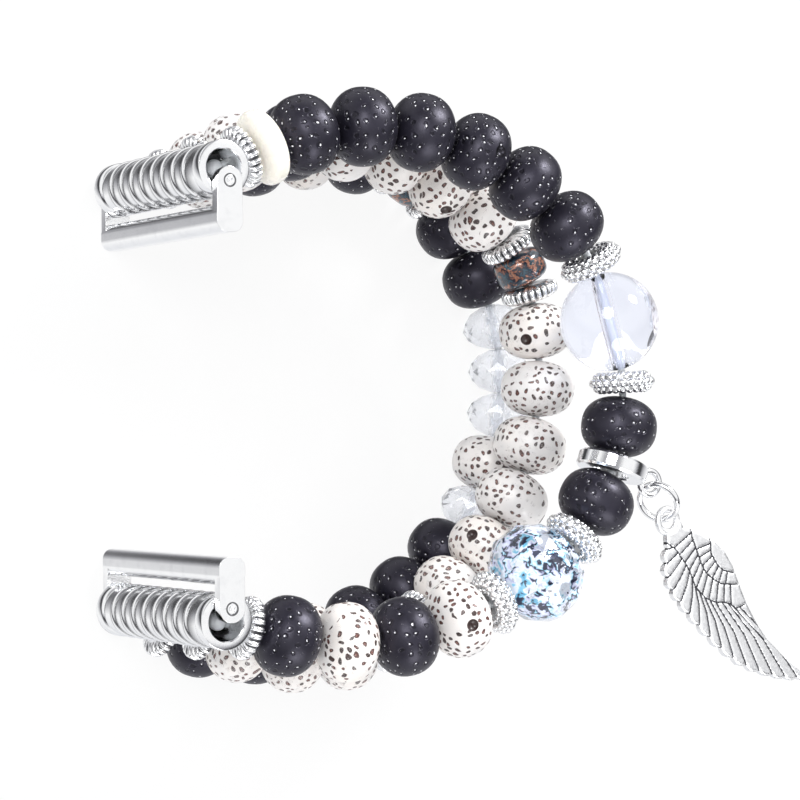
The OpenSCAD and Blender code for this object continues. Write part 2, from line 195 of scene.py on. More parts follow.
class BandColours(bpy.types.PropertyGroup):
    """Colours of the band's finishes."""

    black: colour("Dyed seed", "Colour of the dyed seeds", (0.0085, 0.0078, 0.0125))
    white: colour("White seed", "Colour of the pale seeds", (0.83, 0.81, 0.80))
    freckle: colour("Freckle", "Colour of the pale seeds' dots", (0.07, 0.015, 0.011))
    cream: colour("Cream disc", "Colour of the cream disc", (0.86, 0.82, 0.74))
    silver: colour("Silver", "Colour of the plated metal", (0.94, 0.945, 0.955))
    # Painted shade: the colour that darkens the metal's recesses and seams
    painted_recess_shade: colour("Painted_recess_shade", "Colour in the metal's recesses", (0.035, 0.035, 0.042))
    sky: colour("Sky blue", "Bright blue of the blue bead", (0.14, 0.47, 0.72))
    navy: colour("Navy", "Dark blue of the blue bead", (0.018, 0.022, 0.05))
    cord: colour("Cord", "Colour of the elastic cord", (0.84, 0.87, 0.9))


# Materials


def rgba(tone):
    """The four numbers of a colour, or of a grey that is given as one number."""
    return (tone, tone, tone, 1) if isinstance(tone, (int, float)) else (*tuple(tone)[:3], 1)


class Wire:
    """An output of a node. Arithmetic on wires adds the nodes that work it out."""

    def __init__(self, finish, socket):
        self.finish = finish
        self.socket = socket

    def beside(self, name):
        """Another output of the same node."""
        return Wire(self.finish, self.socket.node.outputs[name])

    def _sum(self, operation, first, second):
        if self.socket.type == "RGBA":
            settings = {"data_type": "RGBA", "blend_type": operation}
            return self.finish.node("ShaderNodeMix", settings, {0: 1.0, 6: first, 7: second}, 2)
        if self.socket.type == "VECTOR":
            first, second = ((v, v, v) if isinstance(v, (int, float)) else v for v in (first, second))
            return self.finish.node("ShaderNodeVectorMath", {"operation": operation}, {0: first, 1: second})
        return self.finish.node("ShaderNodeMath", {"operation": operation}, {0: first, 1: second})

    def __add__(self, other):
        return self._sum("ADD", self, other)

    def __sub__(self, other):
        return self._sum("SUBTRACT", self, other)

    def __rsub__(self, other):
        return self._sum("SUBTRACT", other, self)

    def __mul__(self, other):
        return self._sum("MULTIPLY", self, other)

    def __truediv__(self, other):
        return self._sum("DIVIDE", self, other)


class Finish:
    """Builds one material, or the world's light, from nodes."""

    def __init__(self, name, world=False):
        self.owner = (bpy.data.worlds if world else bpy.data.materials).new(name)
        self.owner.use_nodes = True
        self.tree = self.owner.node_tree
        self.tree.nodes.clear()

    def node(self, kind, settings=None, inputs=None, output=0):
        """Adds a node, gives it its settings, then its socket values or links, and returns one output."""
        made = self.tree.nodes.new(kind)
        for name, value in (settings or {}).items():
            if name == "stops":
                stops = made.color_ramp.elements
                while len(stops) > 1:
                    stops.remove(stops[-1])
                for k, (place, tone) in enumerate(value):
                    stop = stops[0] if k == 0 else stops.new(place)
                    stop.position, stop.color = place, rgba(tone)
            else:
                setattr(made, name, value)
        for name, value in (inputs or {}).items():
            socket = made.inputs[name]
            if isinstance(value, Wire):
                self.tree.links.new(value.socket, socket)
            else:
                socket.default_value = rgba(value) if socket.type == "RGBA" else value
        return Wire(self, made.outputs[output]) if made.outputs else None

    def attribute(self, name, output="Vector"):
        """A vector or number kept on the mesh's points."""
        return self.node("ShaderNodeAttribute", {"attribute_name": name}, output=output)

    def number(self, operation, first, second=0.0):
        """A step of number arithmetic that the plain signs don't have."""
        return self.node("ShaderNodeMath", {"operation": operation}, {0: first, 1: second})

    def parts(self, vector):
        """The three numbers of a vector."""
        x = self.node("ShaderNodeSeparateXYZ", None, {"Vector": vector}, "X")
        return x, x.beside("Y"), x.beside("Z")

    def joined(self, x, y, z=0.0):
        """The vector of three numbers."""
        return self.node("ShaderNodeCombineXYZ", None, {"X": x, "Y": y, "Z": z})

    def length(self, vector):
        """The length of a vector."""
        return self.node("ShaderNodeVectorMath", {"operation": "LENGTH"}, {0: vector}, "Value")

    def luck(self, seed, output="Color"):
        """Random numbers that are the same wherever the seed is."""
        return self.node("ShaderNodeTexWhiteNoise", {"noise_dimensions": "3D"}, {"Vector": seed}, output)

    def bead_skin(self):
        """Places on a bead in millimetres, in another part of a pattern for each bead."""
        return self.attribute("bead_place") + self.attribute("bead_number") * (17.3, 5.1, 9.7)

    def place(self):
        """Object coordinates in millimetres."""
        return self.node("ShaderNodeTexCoord", output="Object") * 1000

    def noise(self, where, scale, detail=2.0, rough=0.5):
        """Cloudy noise as one number."""
        inputs = {"Vector": where, "Scale": scale, "Detail": detail, "Roughness": rough}
        return self.node("ShaderNodeTexNoise", None, inputs, "Fac")

    def swirl(self, where, scale=0.5, detail=2.0):
        """Cloudy noise as a colour, to bend a pattern with."""
        inputs = {"Vector": where, "Scale": scale, "Detail": detail}
        return self.node("ShaderNodeTexNoise", None, inputs, "Color")

    def between(self, value, low, high, start=0.0, end=1.0):
        """A number eased from start to end as value goes from low to high."""
        return self.node(
            "ShaderNodeMapRange", {"interpolation_type": "SMOOTHSTEP"},
            {"Value": value, "From Min": low, "From Max": high, "To Min": start, "To Max": end},
        )

    def ramp(self, value, *stops):
        """A colour from a row of (place, colour) stops."""
        return self.node("ShaderNodeValToRGB", {"stops": stops}, {"Fac": value}, "Color")

    def mix(self, share, first, second):
        """A colour between two, by a share."""
        return self.node("ShaderNodeMix", {"data_type": "RGBA"}, {0: share, 6: first, 7: second}, 2)

    def bump(self, height, distance, strength):
        """A normal from a height, with the distance in metres."""
        inputs = {"Height": height, "Distance": distance, "Strength": strength}
        return self.node("ShaderNodeBump", None, inputs, "Normal")

    def rays(self):
        """1 for a ray from the camera, for a glossy one and for one through glass."""
        camera = self.node("ShaderNodeLightPath", output="Is Camera Ray")
        return camera, camera.beside("Is Glossy Ray"), camera.beside("Is Transmission Ray")

    def finished(self, surface, output="ShaderNodeOutputMaterial"):
        """Links the surface to the output, and returns the material or the world."""
        self.node(output, None, {"Surface": surface})
        return self.owner

    def principled(self, inputs):
        """Adds the surface and returns the finished material."""
        return self.finished(self.node("ShaderNodeBsdfPrincipled", None, inputs, "BSDF"))


def spread_spots(finish, pitch, loose, warp):
    """
    Round spots spread over a bead in loose rows round its bore. Gives a point's way from the middle of its
    spot in millimetres, along the row and across it, and three random numbers of that spot.
    """
    skin = finish.bead_skin()
    sway = finish.swirl(skin, 0.55, 1.0)
    place = finish.attribute("bead_place") + (sway - (0.5, 0.5, 0.5)) * (warp, warp, warp)
    number = finish.attribute("bead_number", "Fac")
    x, y, z = finish.parts(place)
    away = finish.length(place)
    step = pitch / 4.4
    height = finish.number("ARCSINE", z / away) / step
    row = finish.number("FLOOR", height)
    girth = finish.number("COSINE", (row + 0.5) * step) * (2 * math.pi / step)
    count = finish.number("MAXIMUM", finish.number("ROUND", girth), 1.0)
    phase = finish.luck(finish.joined(row, number, 3.0), "Value")
    turn = (finish.number("ARCTAN2", y, x) / (2 * math.pi) + phase) * count
    turn = finish.number("FLOORED_MODULO", turn, count)
    cell = finish.number("FLOOR", turn)
    first, second, third = finish.parts(finish.luck(finish.joined(row, cell, number)))
    round_axis = finish.length(finish.joined(x, y))
    along = (turn - cell - 0.5 - (first - 0.5) * loose) * round_axis * (2 * math.pi) / count
    across = (height - row - 0.5 - (second - 0.5) * loose) * away * step
    return along, across, (first, second, third)


def moon_hollow(finish, reach, soft):
    """1 in the one larger hollow of a seed."""
    away = finish.length(finish.attribute("bead_place") - finish.attribute("moon_at"))
    return finish.between(away, reach - soft, reach, 1.0, 0.0)


def dyed_seed(colours):
    """Dark dyed seed: satin skin with small black pits, most with a pale dot of painted highlight."""
    f = Finish("dyed_seed")
    skin_place = f.bead_skin()
    along, across, (first, second, third) = spread_spots(f, 1.12, 0.5, 1.0)
    crowd = f.between(f.noise(skin_place, 0.26, 1.0), 0.44, 0.58)
    kept = f.between(third + crowd * 0.62, 0.53, 0.54)
    reach = f.length(f.joined(along, across)) - first * 0.07
    pits = f.between(reach, 0.17, 0.23, 1.0, 0.0) * kept
    lip = f.between(reach, 0.22, 0.34, 1.0, 0.0) * kept
    # Painted highlight: a pale dot in most pits, where light would catch the pit's rim
    off_centre = f.length(f.joined(along - 0.05, across - 0.06)) - second * 0.04
    painted_glint = f.between(off_centre, 0.055, 0.085, 1.0, 0.0) * kept * f.between(second, 0.3, 0.32)
    moon = moon_hollow(f, 0.78, 0.06)
    cloud = f.between(f.noise(skin_place, 0.35, 3.0), 0.35, 0.7)
    skin = f.mix(cloud, colours.black, tuple(c * 1.5 for c in colours.black))
    # Painted shade: the pits and the moon hollow are painted near black, as shade falls in them
    skin = f.mix(pits * 0.92, skin, (0.001, 0.001, 0.002))
    skin = f.mix(moon * 0.96, skin, (0.001, 0.001, 0.001))
    skin = f.mix(painted_glint * 0.92, skin, (0.9, 0.9, 0.95))
    scratches = f.noise(skin_place, 2.4, 4.0, 0.65)
    height = scratches * 0.05 - lip * 0.35 - pits * 0.5 + painted_glint * 0.4
    return f.principled({
        "Base Color": skin,
        "Roughness": f.between(scratches, 0.25, 0.75, 0.34, 0.43),
        "Normal": f.bump(height, 0.0002, 0.9),
        "Specular IOR Level": 0.45,
        "Specular Tint": (0.84, 0.81, 1.0),
    })


def pale_seed(colours):
    """Pale seed: smooth white skin with dark red-brown dots and one larger hollow."""
    f = Finish("pale_seed")
    skin_place = f.bead_skin()
    along, across, (first, second, third) = spread_spots(f, 1.04, 0.54, 1.4)
    bare = f.between(f.noise(skin_place, 0.2, 0.5), 0.56, 0.6) * 0.6
    kept = f.between(third - bare, 0.06, 0.07)
    ragged = (f.noise(skin_place, 2.2, 2.0) - 0.5) * 0.2
    reach = f.length(f.joined(along, across)) - first * 0.07 + ragged
    dots = f.between(reach, 0.22, 0.26, 1.0, 0.0) * kept
    heart = f.between(f.length(f.joined(along + 0.03, across - 0.03)), 0.07, 0.13, 1.0, 0.0)
    moon = moon_hollow(f, 0.76, 0.05)
    cloud = f.between(f.noise(skin_place, 0.3, 3.0), 0.3, 0.75)
    warm = f.luck(f.attribute("bead_number") * (1.7, 3.1, 0.9), "Value")
    base = f.mix(warm, colours.white, tuple(c * k for c, k in zip(colours.white, (1.02, 0.975, 0.93))))
    skin = f.mix(cloud, base, tuple(c * 0.92 for c in colours.white))
    tone = f.mix(second, tuple(c * 0.22 for c in colours.freckle), colours.freckle)
    tone = f.mix(heart * f.between(second, 0.45, 0.5) * 0.8, tone, (0.25, 0.085, 0.06))
    skin = f.mix(dots * 0.97, skin, tone)
    # The moon hollow is painted dark red-brown: partly the seed's own colour, partly painted shade in the
    # hollow
    skin = f.mix(moon * 0.96, skin, tuple(c * 0.3 for c in colours.freckle))
    height = 0 - dots * 0.4
    return f.principled({
        "Base Color": skin,
        "Roughness": f.between(f.noise(skin_place, 1.6, 3.0), 0.3, 0.7, 0.28, 0.4),
        "Normal": f.bump(height, 0.00014, 0.8),
        "Subsurface Weight": 0.06,
        "Subsurface Radius": (0.0006, 0.0005, 0.0005),
        "Coat Weight": 0.12,
        "Coat Roughness": 0.25,
    })


def cream_shell(colours):
    """Cream disc: satin with faint growth bands."""
    f = Finish("cream_disc")
    where = f.bead_skin()
    band = f.node(
        "ShaderNodeTexWave", {"bands_direction": "Z"},
        {"Vector": where, "Scale": 0.25, "Distortion": 2.5, "Detail": 2.0}, "Fac",
    )
    skin = f.mix(f.between(band, 0.2, 0.9, 0.0, 0.2), colours.cream, (0.89, 0.86, 0.80))
    return f.principled({
        "Base Color": skin,
        "Roughness": f.between(f.noise(where, 1.2), 0.3, 0.7, 0.22, 0.34),
        "Normal": f.bump(f.noise(where, 2.5, 3.0), 0.00004, 0.6),
        "Subsurface Weight": 0.2,
        "Subsurface Radius": (0.0016, 0.0012, 0.0008),
        "Coat Weight": 0.3,
        "Coat Roughness": 0.15,
    })


def plated(name, colours, depth, rough, grain, seams=()):
    """
    Plated metal that is bright where it stands proud, with painted shade darkening its recesses. Seams are
    rings of painted shade round axes along Z, as (x, y, radius) in millimetres.
    """
    f = Finish(name)
    where = f.place()
    recess = f.between(f.attribute("recess", "Fac"), 0.15, 0.85)
    for x, y, radius in seams:
        off = f.number("ABSOLUTE", f.length(where * (1.0, 1.0, 0.0) - (x, y, 0.0)) - radius)
        recess = f.number("MAXIMUM", recess, f.between(off, 0.05, 0.13, 1.0, 0.0))
    cloud = f.noise(where, 0.7, 3.0)
    # Painted shade: recesses and seams are darkened towards a near black colour
    shade = f.mix(recess * depth, colours.silver, colours.painted_recess_shade)
    shade = f.mix(f.between(cloud, 0.45, 0.8, 0.0, 0.12), shade, (0.45, 0.46, 0.5))
    wear = f.noise(where, 5.0, 4.0, 0.6)
    return f.principled({
        "Base Color": shade,
        "Metallic": 1.0,
        "Roughness": f.between(wear, 0.3, 0.7, rough * 0.7, rough * 1.3) + recess * 0.18,
        "Normal": f.bump(wear, 0.00003, grain),
    })


def clear_crystal(name, tint, milk):
    """Clear glass with a trace of blue, faint veils inside and a milky share."""
    f = Finish(name)
    veil = f.noise(f.place(), 0.5, 4.0, 0.6)
    paler = tuple(min(1.0, c * 1.06) for c in tint)
    return f.principled({
        "Base Color": f.mix(f.between(veil, 0.45, 0.75, 0.0, 0.4), tint, paler),
        "Roughness": f.between(veil, 0.55, 0.8, 0.0, 0.04),
        "Transmission Weight": 1.0 - milk,
        "IOR": 1.5,
    })


def blue_foil(colours):
    """Blue glass over torn foil: bright silver, sky blue and lavender scraps between slate."""
    f = Finish("blue_foil_glass")
    where = f.place()
    bent = where + f.swirl(where) * (1.8, 1.8, 1.8)
    patch = f.noise(bent * (1.0, 1.25, 1.0), 0.17, 4.0, 0.62)
    slate = (0.022, 0.027, 0.06)
    white = (0.80, 0.85, 0.95)
    lavender = (0.5, 0.54, 0.8)
    tone = f.ramp(
        patch,
        (0.0, slate), (0.39, slate), (0.4, colours.sky), (0.43, (0.27, 0.58, 0.78)), (0.445, white),
        (0.475, lavender), (0.49, slate), (0.508, slate), (0.515, (0.3, 0.62, 0.82)), (0.54, white),
        (0.57, lavender), (0.585, white), (0.61, slate), (0.63, slate), (0.64, (0.2, 0.46, 0.68)),
        (0.67, white),
    )
    tear = f.noise(bent * (1.3, 1.0, 1.6), 0.36, 3.0, 0.6)
    tone = f.mix(f.between(tear, 0.6, 0.61) * 0.94, tone, colours.navy)
    tone = f.mix(f.between(tear, 0.43, 0.44, 1.0, 0.0) * 0.85, tone, white)
    foil = f.between(f.noise(bent, 0.4, 3.0), 0.5, 0.53)
    return f.principled({
        "Base Color": tone,
        "Metallic": foil * 0.6,
        "Roughness": f.between(patch, 0.4, 0.6, 0.32, 0.2),
        "Normal": f.bump(patch, 0.00025, 0.35),
        "Coat Weight": 1.0,
        "Coat Roughness": 0.02,
    })


def dark_foil():
    """Dark glass drum with teal and copper flecks."""
    f = Finish("dark_foil_glass")
    where = f.place()
    bent = where + f.node("ShaderNodeVectorMath", {"operation": "SCALE"}, {0: f.swirl(where), "Scale": 2.5})
    patch = f.noise(bent * (1.0, 1.5, 1.0), 0.5, 5.0, 0.68)
    tone = f.ramp(
        patch,
        (0.0, (0.006, 0.009, 0.016)), (0.42, (0.008, 0.014, 0.026)), (0.45, (0.02, 0.085, 0.13)),
        (0.47, (0.008, 0.013, 0.026)), (0.52, (0.010, 0.015, 0.028)), (0.54, (0.3, 0.11, 0.065)),
        (0.575, (0.5, 0.25, 0.17)), (0.6, (0.015, 0.02, 0.035)), (0.65, (0.05, 0.13, 0.17)),
        (0.7, (0.02, 0.03, 0.05)),
    )
    return f.principled({
        "Base Color": tone,
        "Metallic": f.between(patch, 0.5, 0.6, 0.1, 0.4),
        "Roughness": f.between(patch, 0.4, 0.6, 0.35, 0.25),
        "Coat Weight": 1.0,
        "Coat Roughness": 0.04,
    })


def elastic(colours):
    """Pale elastic cord with fine lengthwise strands."""
    f = Finish("elastic_cord")
    along = f.attribute("bead_place")
    inputs = {"Vector": along, "Scale": 2.0, "Distortion": 0.6}
    strands = f.node("ShaderNodeTexWave", {"bands_direction": "X"}, inputs, "Fac")
    return f.principled({
        "Base Color": f.mix(strands * 0.3, colours.cord, (0.9, 0.92, 0.94)),
        "Roughness": f.between(strands, 0.0, 1.0, 0.3, 0.45),
        "Normal": f.bump(strands, 0.00003, 0.5),
        "Coat Weight": 0.4,
    })


# Shapes


def ease(x):
    """0 below 0, 1 above 1 and smooth between."""
    x = max(0.0, min(1.0, x))
    return x * x * (3 - 2 * x)


class Strand:
    """One cord with its beads: the same route, order and spacing as in the part's source."""

    def __init__(self, route, z, bow, beads, sizes):
        before = [2 * a - b for a, b in zip(route[0], route[1])]
        after = [2 * a - b for a, b in zip(route[-1], route[-2])]
        p = [Vector(q) for q in (before, *route, after)]
        flat = []
        for a, b, c, d in zip(p, p[1:], p[2:], p[3:]):
            for k in range(10):
                t = k / 10
                cubic = (3 * b - a - 3 * c + d) * t**3
                flat.append(0.5 * (2 * b + (c - a) * t + (2 * a - 5 * b + 4 * c - d) * t * t + cubic))
        flat.append(Vector(route[-1]))
        last = len(flat) - 1
        heights = [z + bow * math.sin(math.pi * i / last) for i in range(last + 1)]
        self.points = [Vector((q.x, q.y, height)) * MM for q, height in zip(flat, heights)]
        self.run = [0.0]
        for a, b in zip(self.points, self.points[1:]):
            self.run.append(self.run[-1] + (b - a).length)
        self.beads = beads
        self.level = z
        lengths = {
            "black": sizes.black, "white": sizes.white, "disc": sizes.disc_length,
            "grain": sizes.grain_length, "ball": sizes.ball - BALL_FLATS * MM, "blue": sizes.blue_length,
            "bail": BAIL_LENGTH * MM, "drum": sizes.drum_length, "crystal": sizes.crystal_length,
            "pleat": sizes.pleat_length,
        }
        self.lengths = [lengths[kind] for kind in beads]
        self.spare = (self.run[-1] - sizes.sleeve - sum(self.lengths)) / (len(beads) + 1)
        self.radius = sizes.sleeve / 2

    def at(self, s):
        """Place on the cord at a distance from the upper sleeve's axis."""
        i = max(0, min(len(self.run) - 2, sum(1 for v in self.run if v < s) - 1))
        t = (s - self.run[i]) / (self.run[i + 1] - self.run[i])
        a, b = self.points[i], self.points[i + 1]
        return a.lerp(b, t) if 0 <= t <= 1 else a + t * (b - a)

    def start(self, i):
        """Distance along the cord to the near end of bead i."""
        return self.radius + self.spare * (i + 1) + sum(self.lengths[:i])

    def gap(self, i):
        """Distance along the cord to the gap before bead i."""
        return self.start(i) - self.spare / 2

    def seat(self, i):
        """Where bead i sits: its middle, with Z along the cord."""
        a, b = self.at(self.start(i)), self.at(self.start(i) + self.lengths[i])
        return lie_along((a + b) / 2, b - a)


def lie_along(middle, way):
    """A place with Z along a way, turned as in the part's source."""
    lean = Matrix.Rotation(math.acos(way.z / way.length), 4, "Y")
    turn = Matrix.Rotation(math.atan2(way.y, way.x), 4, "Z")
    return Matrix.Translation(middle) @ turn @ lean


def barrel(radius, half, power, bore, count):
    """Closed profile of a turned bead: a rounded oblong outside and the bore inside."""
    top = half * (1 - (bore / radius) ** power) ** (1 / power)
    last = math.acos((bore / radius) ** (power / 2))
    outside = []
    for i in range(-count, count + 1):
        a = last * i / count
        height = half * math.copysign(abs(math.sin(a)) ** (2 / power), a)
        outside.append((radius * math.cos(a) ** (2 / power), height))
    outside[0], outside[-1] = (bore, -top), (bore, top)
    return outside + [(bore * 0.96, top * (1 - 0.5 * k)) for k in range(1, 4)]


def spin(bm, profile, steps, closed=True):
    """Spins a profile of (radius, height) round Z and returns the new vertices."""
    before = set(bm.verts)
    row = [bm.verts.new((r, 0, z)) for r, z in profile]
    pairs = list(zip(row, row[1:])) + ([(row[-1], row[0])] if closed else [])
    edges = [bm.edges.new(pair) for pair in pairs]
    bmesh.ops.spin(
        bm, geom=row + edges, cent=(0, 0, 0), axis=(0, 0, 1), angle=2 * math.pi, steps=steps, use_merge=True
    )
    made = [v for v in bm.verts if v not in before]
    bmesh.ops.remove_doubles(bm, verts=made, dist=1e-7)
    made = [v for v in bm.verts if v not in before]
    faces = list({face for v in made for face in v.link_faces})
    bmesh.ops.recalc_face_normals(bm, faces=faces)
    return made


def new_mesh():
    """An empty bmesh with the layers that the materials read."""
    bm = bmesh.new()
    for name in ("bead_number", "recess"):
        bm.verts.layers.float.new(name)
    for name in ("bead_place", "moon_at"):
        bm.verts.layers.float_vector.new(name)
    return bm


def note(bm, verts, number=0, moon_at=(0, 0, 0), recess=None):
    """Keeps on the points their place in the bead, the bead's number and moon, and how deep they lie."""
    place, moon = bm.verts.layers.float_vector["bead_place"], bm.verts.layers.float_vector["moon_at"]
    bead, deep = bm.verts.layers.float["bead_number"], bm.verts.layers.float["recess"]
    for v in verts:
        v[place] = v.co / MM
        v[moon] = moon_at
        v[bead] = number
        v[deep] = recess(v.co / MM) if recess else 0.0


def put(bm, verts, matrix):
    """Moves vertices to their place."""
    bmesh.ops.transform(bm, matrix=matrix, verts=verts)


def finish_mesh(bm, name, material, smooth=True, angle=40):
    """Makes the object of a finished bmesh, with its place in its mesh."""
    mesh = bpy.data.meshes.new(name)
    for face in bm.faces:
        face.smooth = smooth
    bm.to_mesh(mesh)
    bm.free()
    if smooth:
        mesh.set_sharp_from_angle(angle=math.radians(angle))
    if material:
        mesh.materials.append(material)
    obj = bpy.data.objects.new(name, mesh)
    bpy.context.scene.collection.objects.link(obj)
    return obj


def hollow_out(obj, tools):
    """Cuts tools out of obj and removes them."""
    for tool in tools:
        cut = obj.modifiers.new("cut", "BOOLEAN")
        cut.operation, cut.solver, cut.object = "DIFFERENCE", "EXACT", tool
    bpy.context.view_layer.update()
    shape = bpy.data.meshes.new_from_object(obj.evaluated_get(bpy.context.evaluated_depsgraph_get()))
    obj.modifiers.clear()
    obj.data = shape
    for tool in tools:
        bpy.data.objects.remove(tool)


def seed_bead(bm, sizes, length, matrix, number, turn):
    """Seed bead with its moon, the one larger hollow in its side."""
    bead, tool = new_mesh(), new_mesh()
    spin(bead, barrel(sizes.seed / 2, length / 2, 2.3, sizes.bore / 2, 11), 48)
    side = Vector((math.cos(turn), math.sin(turn), 0))
    surface = side * sizes.seed / 2 + Vector((0, 0, length * 0.12))
    middle = Matrix.Translation(surface + side * 0.2 * MM)
    bmesh.ops.create_icosphere(tool, subdivisions=3, radius=sizes.moon / 2, matrix=middle)
    whole = finish_mesh(bead, "seed", None)
    hollow_out(whole, [finish_mesh(tool, "moon", None)])
    spent, before = whole.data, set(bm.verts)
    bm.from_mesh(spent)
    bpy.data.objects.remove(whole)
    bpy.data.meshes.remove(spent)
    verts = [v for v in bm.verts if v not in before]
    note(bm, verts, number, surface / MM)
    put(bm, verts, matrix)


def turned_bead(bm, sizes, diameter, length, power, matrix):
    """Smooth bead that is round, or a drum with a higher power."""
    verts = spin(bm, barrel(diameter / 2, length / 2, power, sizes.bore / 2, 14), 56)
    note(bm, verts)
    put(bm, verts, matrix)


def pleated_bead(bm, sizes, matrix):
    """Spacer with deep pleats round its rim."""
    radius, half, groove = sizes.pleat / 2, sizes.pleat_length / 2, 0.12
    verts = spin(bm, barrel(radius, half, 3.2, sizes.bore / 2, 9), sizes.pleats * 8)
    rim = radius / MM
    for v in verts:
        flat = Vector((v.co.x, v.co.y))
        if flat.length > sizes.bore * 0.7:
            wave = 0.5 - 0.5 * math.cos(sizes.pleats * math.atan2(v.co.y, v.co.x))
            share = groove * ease(2.0 * wave - 0.75) * ease((flat.length - radius * 0.6) / (radius * 0.3))
            v.co.x *= 1 - share
            v.co.y *= 1 - share

    def deep(p):
        """How deep a point lies: most in the slots between pleats, and less round the bore."""
        wave = 0.5 - 0.5 * math.cos(sizes.pleats * math.atan2(p.y, p.x))
        out = Vector((p.x, p.y)).length / rim
        slot = ease(2.2 * wave - 1.05) * ease(out * 3.0 - 1.9)
        return max(slot, 0.7 - 0.7 * ease(out * 4 - 1.2))

    # The depth sets painted shade in the slots between pleats and round the bore
    note(bm, verts, recess=deep)
    put(bm, verts, matrix)


def grain_depth(middle, out, radius):
    """How deep a point of a grain lies: 0 on its outer side, 1 in the seam round it."""
    return lambda p: 1 - ease(((p - middle).dot(out) / radius) * 0.8 + 0.75)


def grained_bead(bm, sizes, matrix):
    """Spacer of small grains: one row round the rim and smaller rows on each face."""
    length, count = sizes.grain_length, sizes.grains
    grain, small, half = length * 0.38, length * 0.32, length * 0.3
    flat = sizes.grain / 2 - grain / 2 - 0.1 * MM
    bore = sizes.bore / 2
    core = [(flat, -half), (flat, half), (bore, half), (bore, -half)]
    before = set(bm.verts)
    # Painted shade: the core between the grains and the seam round each grain are darkened
    note(bm, spin(bm, core, 42), recess=lambda p: 0.55)
    rows = [(flat + 0.1 * MM, 0.0, grain, 0.0)]
    for side in (-1, 1):
        rows.append((flat - small / 2 - 0.1 * MM, side * (half - 0.06 * MM), small, 0.0))
        rows.append((flat - small * 0.14, side * grain * 0.62, small * 0.8, math.pi / count))
        rows.append((flat - small * 1.35 - 0.1 * MM, side * (half - 0.08 * MM), small * 0.86, 0.0))
    for radius, height, across, turn in rows:
        number_in_row = count if radius > flat * 0.7 else round(count * 0.75)
        for i in range(number_in_row):
            a = turn + 2 * math.pi * i / number_in_row
            middle = Vector((radius * math.cos(a), radius * math.sin(a), height))
            at = Matrix.Translation(middle)
            ball = bmesh.ops.create_icosphere(bm, subdivisions=2, radius=across / 2, matrix=at)["verts"]
            lean = math.copysign(1.6, height) if height else 0.0
            out = Vector((math.cos(a), math.sin(a), lean)).normalized()
            note(bm, ball, recess=grain_depth(middle / MM, out, across / 2 / MM))
    put(bm, [v for v in bm.verts if v not in before], matrix)


def cut_bead(bm, sizes, rows, sides, matrix):
    """Faceted bead: rows of (radius, height, share of a step turned), with flat triangles between them."""
    bore = sizes.bore / 2
    ends = rows[0][1], rows[-1][1]
    profile = [(r, z) for r, z, _ in rows] + [(bore, ends[1]), (bore, ends[0])]
    verts = spin(bm, profile, sides)
    step = 2 * math.pi / sides
    for v in verts:
        for r, z, share in rows:
            if abs(v.co.z - z) < 1e-7 and abs(Vector((v.co.x, v.co.y)).length - r) < 1e-6:
                v.co = Matrix.Rotation(step * share, 3, "Z") @ v.co
    faces = list({face for v in verts for face in v.link_faces})
    bmesh.ops.triangulate(bm, faces=faces, quad_method="SHORT_EDGE")
    note(bm, verts)
    put(bm, verts, matrix)


def blue_rows(sizes):
    """Rows of the blue bead's corners."""
    r, h = sizes.blue / 2, sizes.blue_length / 2
    return [
        (r * 0.36, -h, 0.5), (r * 0.74, -h * 0.74, 0.0), (r * 0.98, -h * 0.3, 0.5), (r, h * 0.3, 0.0),
        (r * 0.74, h * 0.74, 0.5), (r * 0.36, h, 0.0),
    ]


def crystal_rows(sizes):
    """Rows of a rondelle's corners."""
    r, h = sizes.crystal / 2, sizes.crystal_length / 2
    return [
        (r * 0.28, -h, 0.0), (r * 0.66, -h * 0.76, 0.5), (r * 0.92, -h * 0.4, 0.0), (r, 0.0, 0.5),
        (r * 0.92, h * 0.4, 0.0), (r * 0.66, h * 0.76, 0.5), (r * 0.28, h, 0.0),
    ]


def add_bead(bm, sizes, strand, i, number):
    """Adds bead i of a strand in its own place, by its kind."""
    kind, seat = strand.beads[i], strand.seat(i)
    if kind in ("black", "white"):
        # The moon's direction, by the same rule as in the part's source
        turn = math.radians(360 * math.sin(math.radians(40 * i + strand.level)))
        seed_bead(bm, sizes, strand.lengths[i], seat, number, turn)
    elif kind == "disc":
        turned_bead(bm, sizes, sizes.disc, sizes.disc_length, 3.2, seat)
    elif kind == "ball":
        turned_bead(bm, sizes, sizes.ball, sizes.ball, 2, seat)
    elif kind == "drum":
        turned_bead(bm, sizes, sizes.drum, sizes.drum_length, 4, seat)
    elif kind == "pleat":
        pleated_bead(bm, sizes, seat)
    elif kind == "grain":
        grained_bead(bm, sizes, seat)
    elif kind == "blue":
        cut_bead(bm, sizes, blue_rows(sizes), 12, seat)
    elif kind == "crystal":
        cut_bead(bm, sizes, crystal_rows(sizes), 10, seat)
    else:
        raise ValueError(f"no bead of the kind {kind}")


def strands(sizes):
    """The three cords, each at its height and with its bow towards the far side of the loop."""
    return {
        "front": Strand(FRONT_ROUTE, z=9.6, bow=3.0, beads=FRONT_BEADS, sizes=sizes),
        "middle": Strand(MIDDLE_ROUTE, z=0.0, bow=0.0, beads=MIDDLE_BEADS, sizes=sizes),
        "back": Strand(BACK_ROUTE, z=-9.9, bow=-0.5, beads=BACK_BEADS, sizes=sizes),
    }


def body_of(node):
    """The body that a node of the frame rides on."""
    return frame["nodes"][node]["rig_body"]


def stand_for(obj, node):
    """obj takes the place of a node of the frame and rides where it rode."""
    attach(obj, body_of(node))
    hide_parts(node)


